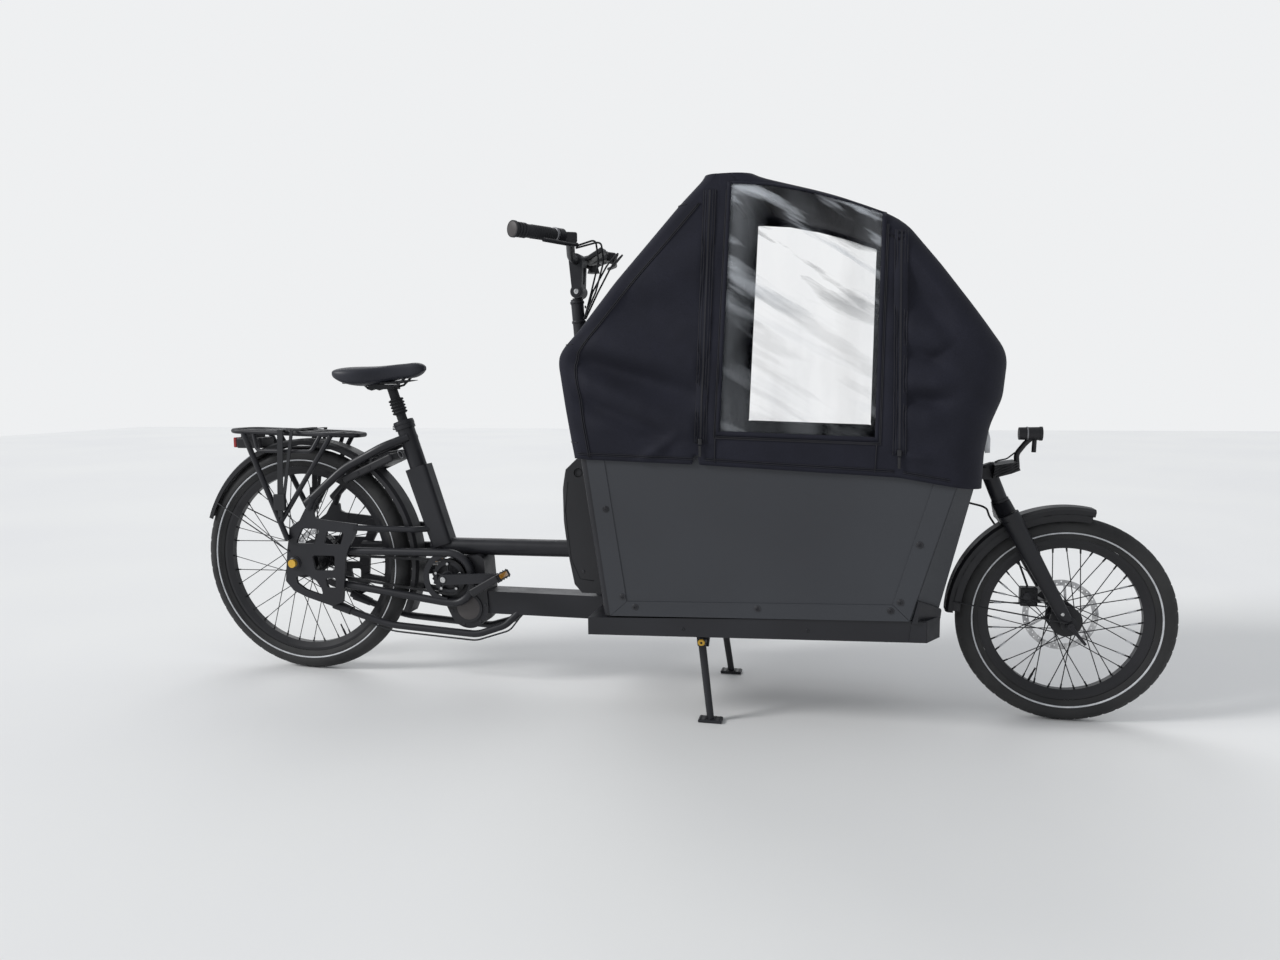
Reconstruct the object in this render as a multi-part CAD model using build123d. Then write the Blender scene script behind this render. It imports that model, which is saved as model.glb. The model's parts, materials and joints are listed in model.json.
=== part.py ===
"""Electric cargo bike with a front load box and a rain canopy, standing on its centre stand.

Millimetres. +X is the riding direction, +Y the rider's left, +Z up, the ground is z = 0.
Places along X are first measured from the rear axle; put() moves them to the model's own
origin, which is on the ground below the middle of the overall length.
"""
from build123d import *
import os
from math import atan2, cos, degrees, pi, radians, sin, sqrt, tan

os.makedirs("parts", exist_ok=True)

# Wheels
WHEELBASE = 2107.0
REAR_R = 334.0
FRONT_R = 258.0
TYRE_HALF_W = 27.5
TYRE_DEPTH = 55.0
TYRE_FACETS = 4
RIM_DEPTH = 24.0
RIM_HALF_W = 15.0
SPOKE_R = 1.3
SPOKES_A_SIDE = 18
FIT = 0.3
PIN_FIT = 0.05

# Head tube and fork
HEAD_TILT = 22.0
HEAD_X, HEAD_Z = WHEELBASE - 167.0, 572.0
HEAD_R = 19.0
HEAD_LOW, HEAD_HIGH = -26.0, 74.0
BEAM_LOW, BEAM_HIGH, BEAM_HALF_W = 606.0, 634.0, 20.0
FORK_Y = 62.0
FORK_TOP_R, FORK_END_R = 24.0, 15.0
FORK_SIDE_TOP_R, FORK_SIDE_END_R = 20.0, 13.0
CROWN_H = 40.0
FRONT_OLD = 50.0

# Seat tube, main tubes
SEAT_TILT = 18.5
SEAT_X, SEAT_Z = REAR_R + 35.0, 615.0
SEAT_TUBE_R = 25.0
SHROUD_DEPTH_TOP, SHROUD_DEPTH_LOW = 68.0, 62.0
SHROUD_W = 56.0
UPPER_TUBE_R = 24.0
UPPER_TUBE_Z = 388.0
LOWER_TUBE_TOP, LOWER_TUBE_H, LOWER_TUBE_W = 267.0, 64.0, 70.0

# Rear dropouts
REAR_DROP_Y, DROP_T = 66.0, 8.0

# Drive
BB_X, BB_Z = SEAT_X + 107.0, 306.0
LOOP_R, LOOP_TUBE_R = 72.0, 11.0
LOOP_Y = REAR_DROP_Y - LOOP_TUBE_R - FIT
CHAIN_Y, CHAIN_HALF_W, CHAIN_H = 50.0, 3.6, 7.0
RING_PITCH_R, RING_TEETH = 49.0, 24
SPROCKET_PITCH_R, SPROCKET_TEETH = 24.5, 12
TOOTH_T, TOOTH_ROOM = 1.6, 1.0
CRANK_LEN, CRANK_RISE = 165.0, 4.0
CRANK_Y = 83.0
CRANK_T = 13.0
MOTOR_X, MOTOR_Z, MOTOR_R = BB_X + 54.0, 218.0, 60.0
MOTOR_HALF_W = 40.0

# Load box
BOX_FLOOR_Z = 262.0
BOX_SLOPE = 0.0411
BOX_REAR_X = SEAT_X + 574.0
BOX_HALF_LOW = 240.0
BOX_FLARE = 0.123
BOX_WALL = 8.0
TRAY_H = 44.0
TRAY_WALL = 4.0

# Corners of the box's side panel and of its nose, as (x, z)
REAR_LOW, REAR_TOP = (BOX_REAR_X + 59, 270), (BOX_REAR_X + 13, 700)
FRONT_LOW, FRONT_TOP = (WHEELBASE - 383, 294), (WHEELBASE - 285, 640)
NOSE_LOW, NOSE_TOP = (WHEELBASE - 317, 296), (WHEELBASE - 243, 640)
REAR_LIP = 18.0

# Canopy
CANOPY_T = 5.0

# Handlebar column
COLUMN_TILT = 4.6
COLUMN_X, COLUMN_Z = SEAT_X + 490.0, 1001.0
COLUMN_R = 20.0
COLUMN_JOINT_Z = 962.0

# Centre stand
STAND_X, STAND_Z, STAND_Y = BOX_REAR_X + 281.0, 198.0, 185.0
FOOT_X, FOOT_Y = STAND_X + 26.0, 200.0

# Seats of the overall length, for the origin
REAR_GUARD_X, REAR_GUARD_DZ, REAR_GUARD_R = 17.0, 6.0, REAR_R + 21.0
GUARD_T = 3.0
OVERALL_REAR = REAR_GUARD_X - REAR_GUARD_R
OVERALL_FRONT = WHEELBASE + FRONT_R
MID_X = (OVERALL_REAR + OVERALL_FRONT) / 2


def put(name, shapes):
    """Write the solids of one node, moved from the rear axle to the model's origin."""
    if not isinstance(shapes, (list, tuple)):
        shapes = [shapes]
    solids = [s for shape in shapes for s in shape.solids()]
    moved = [Pos(-MID_X, 0, 0) * s for s in solids]
    whole = moved[0] if len(moved) == 1 else Compound(children=moved)
    export_step(whole, f"parts/{name}.step")


def both(shape):
    """The shape and its mirror image on the other side of the bike."""
    return [shape, mirror(shape, about=Plane.XZ)]


def rod(start, end, radius, end_radius=None):
    """Round bar between two points, tapered where a second radius is given."""
    axis = Vector(*end) - Vector(*start)
    seat = Plane(origin=start, z_dir=axis)
    if end_radius is None:
        return Solid.make_cylinder(radius, axis.length, seat)
    return Solid.make_cone(radius, end_radius, axis.length, seat)


def pipe(points, bends, radius, bore=0.0):
    """Round tube along straight runs joined by tangent arcs."""
    path = FilletPolyline(*points, radius=bends)
    start = Plane(origin=path @ 0, z_dir=path % 0)
    tube = sweep(start * Circle(radius), path)
    if bore:
        tube -= sweep(start * Circle(bore), path)
    return tube


def side_plate(outline, y_low, y_high, corner=0.0):
    """Plate seen from the side: an (x, z) outline between two y values."""
    face = make_face(Polyline(*outline, close=True))
    if corner:
        face = fillet(face.vertices(), corner)
    return extrude(Plane.XZ.offset(-y_high) * face, amount=y_high - y_low)


def turned(profile, x, z):
    """Ring or disc about a crosswise axle, from a (y, radius) outline."""
    face = make_face(Polyline(*profile, close=True))
    return Pos(x, 0, z) * revolve(Plane.YZ * face, axis=Axis.Y)


def disc(x, z, y_low, y_high, radius, bore=0.0):
    """Flat round plate about a crosswise axle."""
    low = bore if bore else 0.0
    return turned([(y_low, low), (y_low, radius), (y_high, radius), (y_high, low)], x, z)


def block(x_low, x_high, y_low, y_high, z_low, z_high, corner=0.0):
    box = Pos((x_low + x_high) / 2, (y_low + y_high) / 2, (z_low + z_high) / 2) * Box(
        x_high - x_low, y_high - y_low, z_high - z_low)
    if corner:
        box = fillet(box.edges(), corner)
    return box


DISC_BORE, DISC_BAND = 20.0, 15.0
REAR_DISC_R, FRONT_DISC_R = 80.0, 90.0
REAR_DISC_Y, FRONT_DISC_Y = 48.0, 40.0
# Rows of holes in a braking band: inset from the disc's edge, turn from one row to the next
HOLE_ROWS = [(4.5, 0.0), (10.0, 7.5)]
HOLE_R, HOLES_A_ROW = 2.0, 24


# Wheels
def tyre(radius, x):
    """Tyre: round outside, open at the rim, one closed ring."""
    bead = radius - TYRE_DEPTH + 1
    shoulder = radius - TYRE_DEPTH / 2
    half = TYRE_HALF_W
    turns = [pi * k / TYRE_FACETS - pi / 2 for k in range(TYRE_FACETS + 1)]
    crown = Polyline(*[(half * sin(a), shoulder + (radius - shoulder) * cos(a)) for a in turns])
    side_r = Line((half, shoulder), (RIM_HALF_W + 1, bead))
    side_l = Line((-RIM_HALF_W - 1, bead), (-half, shoulder))
    seat = Line((RIM_HALF_W + 1, bead), (-RIM_HALF_W - 1, bead))
    face = make_face(Curve() + [crown, side_r, seat, side_l])
    return Pos(x, 0, radius) * revolve(Plane.YZ * face, axis=Axis.Y)


def wheel(radius, x, hub_r, flange_r, flange_y, axle_half, disc_y):
    """Rim, hub and crossed spokes as one piece."""
    outer = radius - TYRE_DEPTH + 1 - FIT
    inner = outer - RIM_DEPTH
    rim = turned([(-RIM_HALF_W, outer), (RIM_HALF_W, outer), (RIM_HALF_W, outer - 8),
                  (RIM_HALF_W - 6, inner), (-RIM_HALF_W + 6, inner), (-RIM_HALF_W, outer - 8)], x, radius)
    hub = turned([(-axle_half, 0), (-axle_half, 7), (-flange_y - 4, 9), (-flange_y - 4, flange_r),
                  (-flange_y, flange_r), (-flange_y, hub_r), (flange_y, hub_r), (flange_y, flange_r),
                  (flange_y + 4, flange_r), (flange_y + 4, DISC_BORE + 6), (disc_y - 1 - FIT, DISC_BORE + 6),
                  (disc_y - 1 - FIT, DISC_BORE - FIT), (disc_y + 3, DISC_BORE - FIT), (disc_y + 3, 9),
                  (axle_half, 7), (axle_half, 0)], x, radius)
    spokes = []
    step = 2 * pi / SPOKES_A_SIDE
    for side in (-1, 1):
        for i in range(SPOKES_A_SIDE):
            lean = 1 if i % 2 else -1
            foot = i * step + (side + 1) * step / 4
            head = foot + lean * 3.0 * step
            hub_y = side * (flange_y + 2 + lean * 0.9)
            start = (x + (flange_r - 3) * cos(head), hub_y, radius + (flange_r - 3) * sin(head))
            end = (x + (inner + 3) * cos(foot), side * 3, radius + (inner + 3) * sin(foot))
            axis = Vector(*end) - Vector(*start)
            seat = Plane(origin=start, z_dir=axis)
            spokes.append(extrude(seat * RegularPolygon(SPOKE_R, 5), amount=axis.length))
    return rim.fuse(hub, *spokes)


def rotor(x, z, y, radius, band, hub_r):
    """Brake disc: a braking band on six slanting arms."""
    ring = disc(x, z, y - 1, y + 1, radius, radius - band)
    centre = disc(x, z, y - 1, y + 1, hub_r + 8, hub_r)
    arms = []
    for i in range(6):
        a = radians(60 * i)
        b = a + radians(24)
        arms.append(rod((x + (hub_r + 4) * cos(a), y, z + (hub_r + 4) * sin(a)),
                        (x + (radius - band + 2) * cos(b), y, z + (radius - band + 2) * sin(b)), 3.2)
                    & block(x - radius, x + radius, y - 1, y + 1, z - radius, z + radius))
    holes = []
    for inset, turn in HOLE_ROWS:
        for i in range(HOLES_A_ROW):
            c = radians(turn + 360 / HOLES_A_ROW * i)
            hole_x = x + (radius - inset) * cos(c)
            hole_z = z + (radius - inset) * sin(c)
            holes.append(rod((hole_x, y - 2, hole_z), (hole_x, y + 2, hole_z), HOLE_R))
    ring = ring.cut(*holes)
    return ring.fuse(centre, *arms)


def toothed(x, z, y, pitch_r, teeth, thick, bore):
    """Chain wheel: a thin disc with pointed teeth about a crosswise axle."""
    points = []
    for i in range(2 * teeth):
        c = pi * i / teeth
        r = pitch_r + (2.6 if i % 2 else -2.2)
        points.append((r * cos(c), r * sin(c)))
    face = make_face(Polyline(*points, close=True)) - Circle(bore)
    return Pos(x, 0, z) * extrude(Plane.XZ.offset(-y - thick / 2) * face, amount=thick)


REAR_FLANGE_Y = 30.0
FRONT_FLANGE_Y = 26.0
REAR_HUB_R, REAR_HUB_FLANGE = 42.0, 52.0
FRONT_HUB_R, FRONT_HUB_FLANGE = 30.0, 38.0
put("rear_tyre", tyre(REAR_R, 0))
rear_wheel = wheel(REAR_R, 0, REAR_HUB_R, REAR_HUB_FLANGE, REAR_FLANGE_Y, REAR_DROP_Y - FIT, REAR_DISC_Y)
sprocket = toothed(0, REAR_R, -CHAIN_Y, SPROCKET_PITCH_R, SPROCKET_TEETH, TOOTH_T, 5)
sprocket_boss = disc(0, REAR_R, -CHAIN_Y - TOOTH_T / 2, -REAR_FLANGE_Y - 3, 16)
put("rear_wheel", rear_wheel.fuse(sprocket, sprocket_boss))
put("rear_rotor", rotor(0, REAR_R, REAR_DISC_Y, REAR_DISC_R, DISC_BAND, DISC_BORE))
put("front_tyre", tyre(FRONT_R, WHEELBASE))
put("front_wheel", wheel(FRONT_R, WHEELBASE, FRONT_HUB_R, FRONT_HUB_FLANGE, FRONT_FLANGE_Y, FRONT_OLD - FIT, FRONT_DISC_Y))
put("front_rotor", rotor(WHEELBASE, FRONT_R, FRONT_DISC_Y, FRONT_DISC_R, DISC_BAND, DISC_BORE))

# Steering axis of the fork
head_down = Vector(sin(radians(HEAD_TILT)), 0, -cos(radians(HEAD_TILT)))
head_side = Vector(cos(radians(HEAD_TILT)), 0, sin(radians(HEAD_TILT)))
head_at = Vector(HEAD_X, 0, HEAD_Z)


def on_head(up, ahead=0.0, y=0.0):
    """Point a distance up the steering axis, and ahead of it at a right angle."""
    p = head_at - head_down * up + head_side * ahead
    return (p.X, y, p.Z)


def head_plane(up):
    return Plane(origin=on_head(up), x_dir=head_side, z_dir=-head_down)


def nose_x(z):
    """Outside of the box's front wall at a height."""
    return NOSE_LOW[0] + (NOSE_TOP[0] - NOSE_LOW[0]) * (z - NOSE_LOW[1]) / (NOSE_TOP[1] - NOSE_LOW[1])


# Head tube: open bore, with the beam that carries it from the box's front wall
beam = side_plate([(nose_x(BEAM_LOW) + FIT, BEAM_LOW), (HEAD_X - 12, BEAM_LOW), (HEAD_X - 22, BEAM_HIGH),
                   (nose_x(BEAM_HIGH) + FIT, BEAM_HIGH)], -BEAM_HALF_W, BEAM_HALF_W)
bearing_ring = rod(on_head(HEAD_LOW), on_head(HEAD_LOW + 7), HEAD_R + 2.5)
head_tube = beam.fuse(rod(on_head(HEAD_LOW), on_head(HEAD_HIGH), HEAD_R), bearing_ring)
head_tube -= rod(on_head(HEAD_LOW - 1), on_head(HEAD_HIGH + 1), 15)
put("head_tube", head_tube)

# Fork: steerer, crown and two tapered legs down to the axle
CROWN_UP = HEAD_LOW - FIT
steerer = rod(on_head(CROWN_UP), on_head(HEAD_HIGH + 2), 15 - PIN_FIT)
crown_outline = Plane(origin=on_head(CROWN_UP), x_dir=(0, 1, 0), z_dir=head_down)
crown_low = Plane(origin=on_head(CROWN_UP - CROWN_H), x_dir=(0, 1, 0), z_dir=head_down)
crown = loft([crown_outline * RectangleRounded(54, 44, 20), crown_low * RectangleRounded(2 * FORK_Y + 38, 46, 20)])
leg_top = Vector(*on_head(CROWN_UP - 24, 2, -FORK_Y))
leg_end = Vector(WHEELBASE - 6, -FORK_Y, FRONT_R + 8)
leg_dir = (leg_end - leg_top).normalized()
leg = loft([Plane(origin=leg_top, x_dir=(0, 1, 0), z_dir=leg_dir) * Ellipse(FORK_SIDE_TOP_R, FORK_TOP_R),
            Plane(origin=leg_end, x_dir=(0, 1, 0), z_dir=leg_dir) * Ellipse(FORK_SIDE_END_R, FORK_END_R)])
dropout = disc(WHEELBASE, FRONT_R, -FORK_Y - 6, -FRONT_OLD, 19)
tyre_room = Pos(WHEELBASE, 0, FRONT_R) * Rot(90, 0, 0) * Cylinder(FRONT_R + 22, 76)
axle_cap = disc(WHEELBASE, FRONT_R, -FORK_Y - 14, -FORK_Y - 6, 10)
lever_foot = (WHEELBASE, -FORK_Y - 18, FRONT_R)
lever_tip = (WHEELBASE + 34, -FORK_Y - 21, FRONT_R - 42)
axle_lever = rod((WHEELBASE, -FORK_Y - 14, FRONT_R), (WHEELBASE, -FORK_Y - 22, FRONT_R), 8).fuse(rod(lever_foot, lever_tip, 5, 3.5))
fork = steerer.fuse(crown - tyre_room, *both(leg), *both(dropout), *both(axle_cap), axle_lever)
put("fork", fork)
caliper = block(WHEELBASE - 98, WHEELBASE - 56, FRONT_DISC_Y - 14, FRONT_DISC_Y + 16, FRONT_R + 20, FRONT_R + 68, 4)
caliper_lug = block(WHEELBASE - 66, WHEELBASE - 30, FRONT_DISC_Y + 5, FRONT_DISC_Y + 16, FRONT_R + 30, FRONT_R + 58)
left_leg_room = rod((leg_top.X, FORK_Y, leg_top.Z), (leg_end.X, FORK_Y, leg_end.Z), FORK_TOP_R + FIT, FORK_END_R + FIT)
caliper = caliper.fuse(caliper_lug - left_leg_room)
caliper -= disc(WHEELBASE, FRONT_R, FRONT_DISC_Y - 2.5, FRONT_DISC_Y + 2.5, FRONT_DISC_R + 4)
put("front_caliper", caliper)
HOSE_R = 2.6
hose_start = (nose_x(548) + 7, 16, 548)
hose = pipe([hose_start, (WHEELBASE - 186, 30, 530), (WHEELBASE - 172, 74, 500), (WHEELBASE - 99, 84, 392), (WHEELBASE - 79, 46, FRONT_R + 68 + 4 * FIT)],
            [34, 26, 30], HOSE_R)
put("front_brake_hose", hose)


def mudguard(x, z, outer, start, end, half_w, side_depth):
    """Arched guard of U section between two angles, measured from straight ahead, upwards."""
    inner = outer - GUARD_T
    profile = [(-half_w, outer - side_depth), (-half_w, outer - 6), (-half_w + 10, outer), (half_w - 10, outer),
               (half_w, outer - 6), (half_w, outer - side_depth), (half_w - GUARD_T, outer - side_depth),
               (half_w - GUARD_T, inner - 5), (half_w - 10, inner), (-half_w + 10, inner),
               (-half_w + GUARD_T, inner - 5), (-half_w + GUARD_T, outer - side_depth)]
    face = make_face(Polyline(*profile, close=True))
    ring = revolve(Plane.YZ * face, axis=Axis.Y, revolution_arc=end - start)
    # revolve starts straight up and turns forwards, so the arc is turned back to its start
    return Pos(x, 0, z) * Rot(0, 90 - end, 0) * ring


FRONT_GUARD_R = 284.0
GUARD_HALF_W, GUARD_SIDE = 33.0, 18.0
WIRE_R = 1.8


def guard_wire(x, z, radius, angle, foot):
    """Wire stay from the guard's side edge to its eyelet, on the right-hand side."""
    up = radius - GUARD_SIDE + 4
    start = (x + up * cos(radians(angle)), -GUARD_HALF_W + 1, z + up * sin(radians(angle)))
    return rod(start, foot, WIRE_R)


front_guard = mudguard(WHEELBASE, FRONT_R, FRONT_GUARD_R, 78, 178, GUARD_HALF_W, GUARD_SIDE)
guard_boss = rod(on_head(CROWN_UP - CROWN_H - FIT), on_head(CROWN_UP - CROWN_H - 5), 9)
front_wire = guard_wire(WHEELBASE, FRONT_R, FRONT_GUARD_R, 172, (WHEELBASE - 6, -FORK_Y - FORK_END_R - WIRE_R - FIT, FRONT_R + 8))
put("front_mudguard", front_guard.fuse(guard_boss, *both(front_wire)))
rear_guard_z = REAR_R + REAR_GUARD_DZ
rear_guard = mudguard(REAR_GUARD_X, rear_guard_z, REAR_GUARD_R, -25, 161, GUARD_HALF_W, GUARD_SIDE)
rear_wire = guard_wire(REAR_GUARD_X, rear_guard_z, REAR_GUARD_R, 152, (-15, -REAR_DROP_Y - DROP_T - WIRE_R - 2 * FIT, REAR_R + 34))
put("rear_mudguard", rear_guard.fuse(*both(rear_wire)))

# Seat tube: the upper tube in its square lower housing
seat_up = Vector(-sin(radians(SEAT_TILT)), 0, cos(radians(SEAT_TILT)))
seat_at = Vector(SEAT_X, 0, SEAT_Z)


def on_seat(up, y=0.0):
    p = seat_at + seat_up * up
    return (p.X, y, p.Z)


def seat_plane(up):
    return Plane(origin=on_seat(up), x_dir=(cos(radians(SEAT_TILT)), 0, sin(radians(SEAT_TILT))), z_dir=seat_up)


SEAT_TOP, SHROUD_LOW = 139.0, -236.0
POST_R = 14.0
shroud = loft([seat_plane(SHROUD_LOW) * RectangleRounded(SHROUD_DEPTH_LOW, SHROUD_W, 12),
               seat_plane(0) * RectangleRounded(SHROUD_DEPTH_TOP, SHROUD_W, 12)])
seat_tube = shroud.fuse(rod(on_seat(0), on_seat(SEAT_TOP), SEAT_TUBE_R), rod(on_seat(SEAT_TOP - 24), on_seat(SEAT_TOP), SEAT_TUBE_R + 4))
seat_tube -= rod(on_seat(SEAT_TOP - 120), on_seat(SEAT_TOP + 1), POST_R + PIN_FIT)
guard_lug = rod((BB_X - 36, -LOOP_Y + LOOP_TUBE_R + FIT, BB_Z + LOOP_R), (BB_X - 36, -SHROUD_W / 2 + 2, BB_Z + LOOP_R), 8)
clamp_ear = block(SEAT_X - 74, SEAT_X - 58, -9, 9, SEAT_Z + 106, SEAT_Z + 118, 2)
seat_tube = seat_tube.fuse(guard_lug, clamp_ear - rod(on_seat(SEAT_TOP - 60), on_seat(SEAT_TOP), SEAT_TUBE_R))
put("seat_tube", seat_tube)
POST_TOP = 240.0
post = rod(on_seat(SEAT_TOP - 100), on_seat(POST_TOP), POST_R)
bellows = rod(on_seat(SEAT_TOP + 22), on_seat(SEAT_TOP + 66), 18)
head = block(SEAT_X - 137, SEAT_X - 63, -26, 26, 838, 852)
rail = pipe([(SEAT_X - 219, -22, 858), (SEAT_X - 69, -22, 856), (SEAT_X + 1, -8, 866)], [60], 3.5)
# Half outline of the saddle from above, as (back from the seat tube's x, half width)
SADDLE_SIDE = [(241, 40), (229, 76), (179, 82), (107, 36), (29, 21), (-29, 17)]
saddle_right = [(SEAT_X - back, -half) for back, half in SADDLE_SIDE]
saddle_left = [(SEAT_X - back, half) for back, half in reversed(SADDLE_SIDE)]
saddle_plan = make_face(Polyline(*saddle_right, (SEAT_X + 38, 0), *saddle_left, close=True))
saddle = extrude(Pos(0, 0, 864) * saddle_plan, amount=38)
put("saddle", saddle)
put("seat_post", [post.fuse(bellows, head), *both(rail - saddle)])

# Main tubes
motor_case = extrude(Plane.XZ.offset(-MOTOR_HALF_W) * make_hull(
    [*(Pos(BB_X, BB_Z) * Circle(50)).edges(), *(Pos(MOTOR_X, MOTOR_Z) * Circle(MOTOR_R)).edges(),
     *(Pos(BB_X + 84, BB_Z + 44) * Circle(20)).edges()]), amount=2 * MOTOR_HALF_W)
motor_case -= seat_tube
motor_case -= rod((BB_X, -60, BB_Z), (BB_X, 60, BB_Z), 15)
motor_cap = disc(MOTOR_X, MOTOR_Z, -MOTOR_HALF_W - 3, -MOTOR_HALF_W, 42)
cap_ring = disc(MOTOR_X, MOTOR_Z, -MOTOR_HALF_W - 3.4, -MOTOR_HALF_W - 2.9, 42, 37)
motor_lug = side_plate([(BB_X + 32, BB_Z + 46), (BB_X + 66, BB_Z + 52), (BB_X + 76, BB_Z + 22), (BB_X + 52, BB_Z + 14)],
                       -MOTOR_HALF_W - 3.4, -MOTOR_HALF_W, 4)
motor_body = motor_case.fuse(motor_cap, cap_ring, motor_lug)


def rear_face_x(z):
    """Outside of the box's rear wall at a height."""
    return REAR_LOW[0] - REAR_LIP + (REAR_TOP[0] - REAR_LOW[0]) * (z - REAR_LOW[1]) / (REAR_TOP[1] - REAR_LOW[1])


box_room = side_plate([(rear_face_x(200) - FIT, 200), (rear_face_x(760) - FIT, 760), (BOX_REAR_X + 257, 760), (BOX_REAR_X + 257, 200)], -320, 320)
column_up = Vector(-sin(radians(COLUMN_TILT)), 0, cos(radians(COLUMN_TILT)))
column_at = Vector(COLUMN_X, 0, COLUMN_Z)


def on_column(z, y=0.0, ahead=0.0):
    """Point on the handlebar column's axis at a height."""
    p = column_at + column_up * ((z - COLUMN_Z) / cos(radians(COLUMN_TILT)))
    return (p.X + ahead, y, p.Z)


column = rod(on_column(LOWER_TUBE_TOP - 20), on_column(COLUMN_JOINT_Z), COLUMN_R)
column -= rod(on_column(COLUMN_JOINT_Z - 120), on_column(COLUMN_JOINT_Z + 1), 12)
upper_tube = rod((SEAT_X + 40, 0, UPPER_TUBE_Z - 1), (BOX_REAR_X + 47, 0, UPPER_TUBE_Z + 5), UPPER_TUBE_R)
upper_tube = upper_tube - seat_tube - motor_case - box_room - column
put("upper_tube", upper_tube)
lower_tube = block(BB_X + 84, BOX_REAR_X, -LOWER_TUBE_W / 2, LOWER_TUBE_W / 2, LOWER_TUBE_TOP - LOWER_TUBE_H, LOWER_TUBE_TOP)
put("motor", motor_body)
put("lower_tube", lower_tube - motor_case)
put("handlebar_column", column - lower_tube)

# Rear triangle: ribbed dropouts, as (x, height over the axle)
DROP_OUTLINE = [(68, 159), (44, 163), (22, 126), (-9, 105), (-22, 41), (-28, -14), (-32, -55), (-7, -83), (33, -100),
                (118, -124), (153, -110), (160, -47), (166, 21), (179, 52), (202, 93), (208, 120), (86, 131), (70, 138)]
DROP_HOLES = [
    [(30, 103), (86, 102), (68, 60), (6, 56)],
    [(110, 97), (165, 94), (152, 58), (98, 58)],
    [(58, 24), (132, 26), (129, -19), (67, -20)],
    [(2, -40), (36, -34), (66, -48), (84, -72), (90, -94), (34, -78), (6, -60)],
    [(98, -41), (132, -40), (131, -70), (104, -70)],
]


def over_axle(points):
    """Points given by their height over the rear axle, in the bike's own heights."""
    return [(x, REAR_R + up) for x, up in points]


drop_plate = side_plate(over_axle(DROP_OUTLINE), -REAR_DROP_Y - DROP_T, -REAR_DROP_Y, 5)
for outline in DROP_HOLES:
    drop_plate -= side_plate(over_axle(outline), -REAR_DROP_Y - DROP_T - 1, -REAR_DROP_Y + 1, 6)
drop_plate -= rod((0, -100, REAR_R), (0, 0, REAR_R), 7 + PIN_FIT)
axle_pad = disc(0, REAR_R, -REAR_DROP_Y - DROP_T - 2, -REAR_DROP_Y - DROP_T, 21, 7 + PIN_FIT)
put("dropouts", both(drop_plate.fuse(axle_pad)))
axle_nut = disc(0, REAR_R, -REAR_DROP_Y - DROP_T - 15, -REAR_DROP_Y - DROP_T - 2, 12)
nut_washer = disc(0, REAR_R, -REAR_DROP_Y - DROP_T - 5, -REAR_DROP_Y - DROP_T - 2, 17)
put("rear_axle_nuts", both(axle_nut.fuse(nut_washer)))
stay = pipe([(SEAT_X - 19, -20, REAR_R + 368), (SEAT_X - 84, -47, REAR_R + 342), (160, -52, REAR_R + 278),
             (46, -REAR_DROP_Y - 4, REAR_R + 176)], [120, 200], 12)
stay_end = rod((66, -REAR_DROP_Y - 2, REAR_R + 196), (52, -REAR_DROP_Y - 4, REAR_R + 157), 12, 9)
seat_core = rod(on_seat(SEAT_TOP - 122), on_seat(SEAT_TOP), SEAT_TUBE_R - 1)
BRIDGE_R, BRIDGE_ANGLE = 6.0, 56.4
bridge_x = REAR_GUARD_X + (REAR_GUARD_R + BRIDGE_R + FIT) * cos(radians(BRIDGE_ANGLE))
bridge_z = rear_guard_z + (REAR_GUARD_R + BRIDGE_R + FIT) * sin(radians(BRIDGE_ANGLE))
bridge = rod((bridge_x, -50, bridge_z), (bridge_x, 50, bridge_z), BRIDGE_R)
drop_room = side_plate(over_axle(DROP_OUTLINE), -REAR_DROP_Y - DROP_T - FIT, -REAR_DROP_Y + FIT)
put("seat_stays", bridge.fuse(*both((stay.fuse(stay_end) - seat_tube - seat_core) - drop_room)))
flat_stay = pipe([(196, -REAR_DROP_Y - 4, REAR_R + 109), (240, -60, REAR_R + 107), (SEAT_X + 1, -46, REAR_R + 105),
                  (SEAT_X + 45, -16, REAR_R + 104)], [80, 25], 8.5)
put("level_stays", both(flat_stay - seat_tube - drop_room))
top_z = BB_Z + LOOP_R
low_z = BB_Z - LOOP_R
RAMP_Z = 273.0
loop_right = pipe([(150, -LOOP_Y, top_z - 6), (BB_X + LOOP_R - 1, -LOOP_Y, top_z), (BB_X + LOOP_R, -LOOP_Y, low_z),
                   (BB_X - 10, -LOOP_Y, low_z), (150, -LOOP_Y, RAMP_Z)], [LOOP_R - 4, LOOP_R - 14, 150], LOOP_TUBE_R)
ring_cover = disc(BB_X, BB_Z, -LOOP_Y - 5, -LOOP_Y, LOOP_R + 2, RING_PITCH_R + 9)
ring_cover = ring_cover & block(BB_X - 100, BB_X - 2, -80, 0, BB_Z - 100, BB_Z + 100)
put("chain_guard", loop_right.fuse(ring_cover))
left_upper = pipe([(150, LOOP_Y, top_z - 6), (BB_X - 91, 48, top_z), (BB_X - 28, 14, top_z)], [40], LOOP_TUBE_R)
left_lower = rod((150, LOOP_Y, RAMP_Z), (BB_X + 24, 44, low_z), LOOP_TUBE_R)
put("left_chainstays", [left_upper - seat_tube - motor_case - upper_tube, left_lower - motor_case])
low_stay = pipe([(104, -55.7, 217), (180, -55.7, 190), (290, -55.7, 160), (BB_X + 84, -52, 145), (BB_X + 164, -40, 172),
                 (BB_X + 204, -24, 212)], [200, 300, 90, 60], 10)
ferrule = rod((116, -55.7, 212.7), (168, -55.7, 194.2), 14.5, 12)
put("low_stays", both(low_stay.fuse(ferrule - drop_room) - lower_tube))
LOW_CABLE_R = 2.4
low_cable = pipe([(236, -58, 160), (300, -58, 142), (BB_X + 82, -56, 128), (BB_X + 180, -46, 160), (BB_X + 214, -28, 208)],
                 [200, 80, 40], LOW_CABLE_R)
put("low_cable", low_cable - lower_tube)

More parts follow.
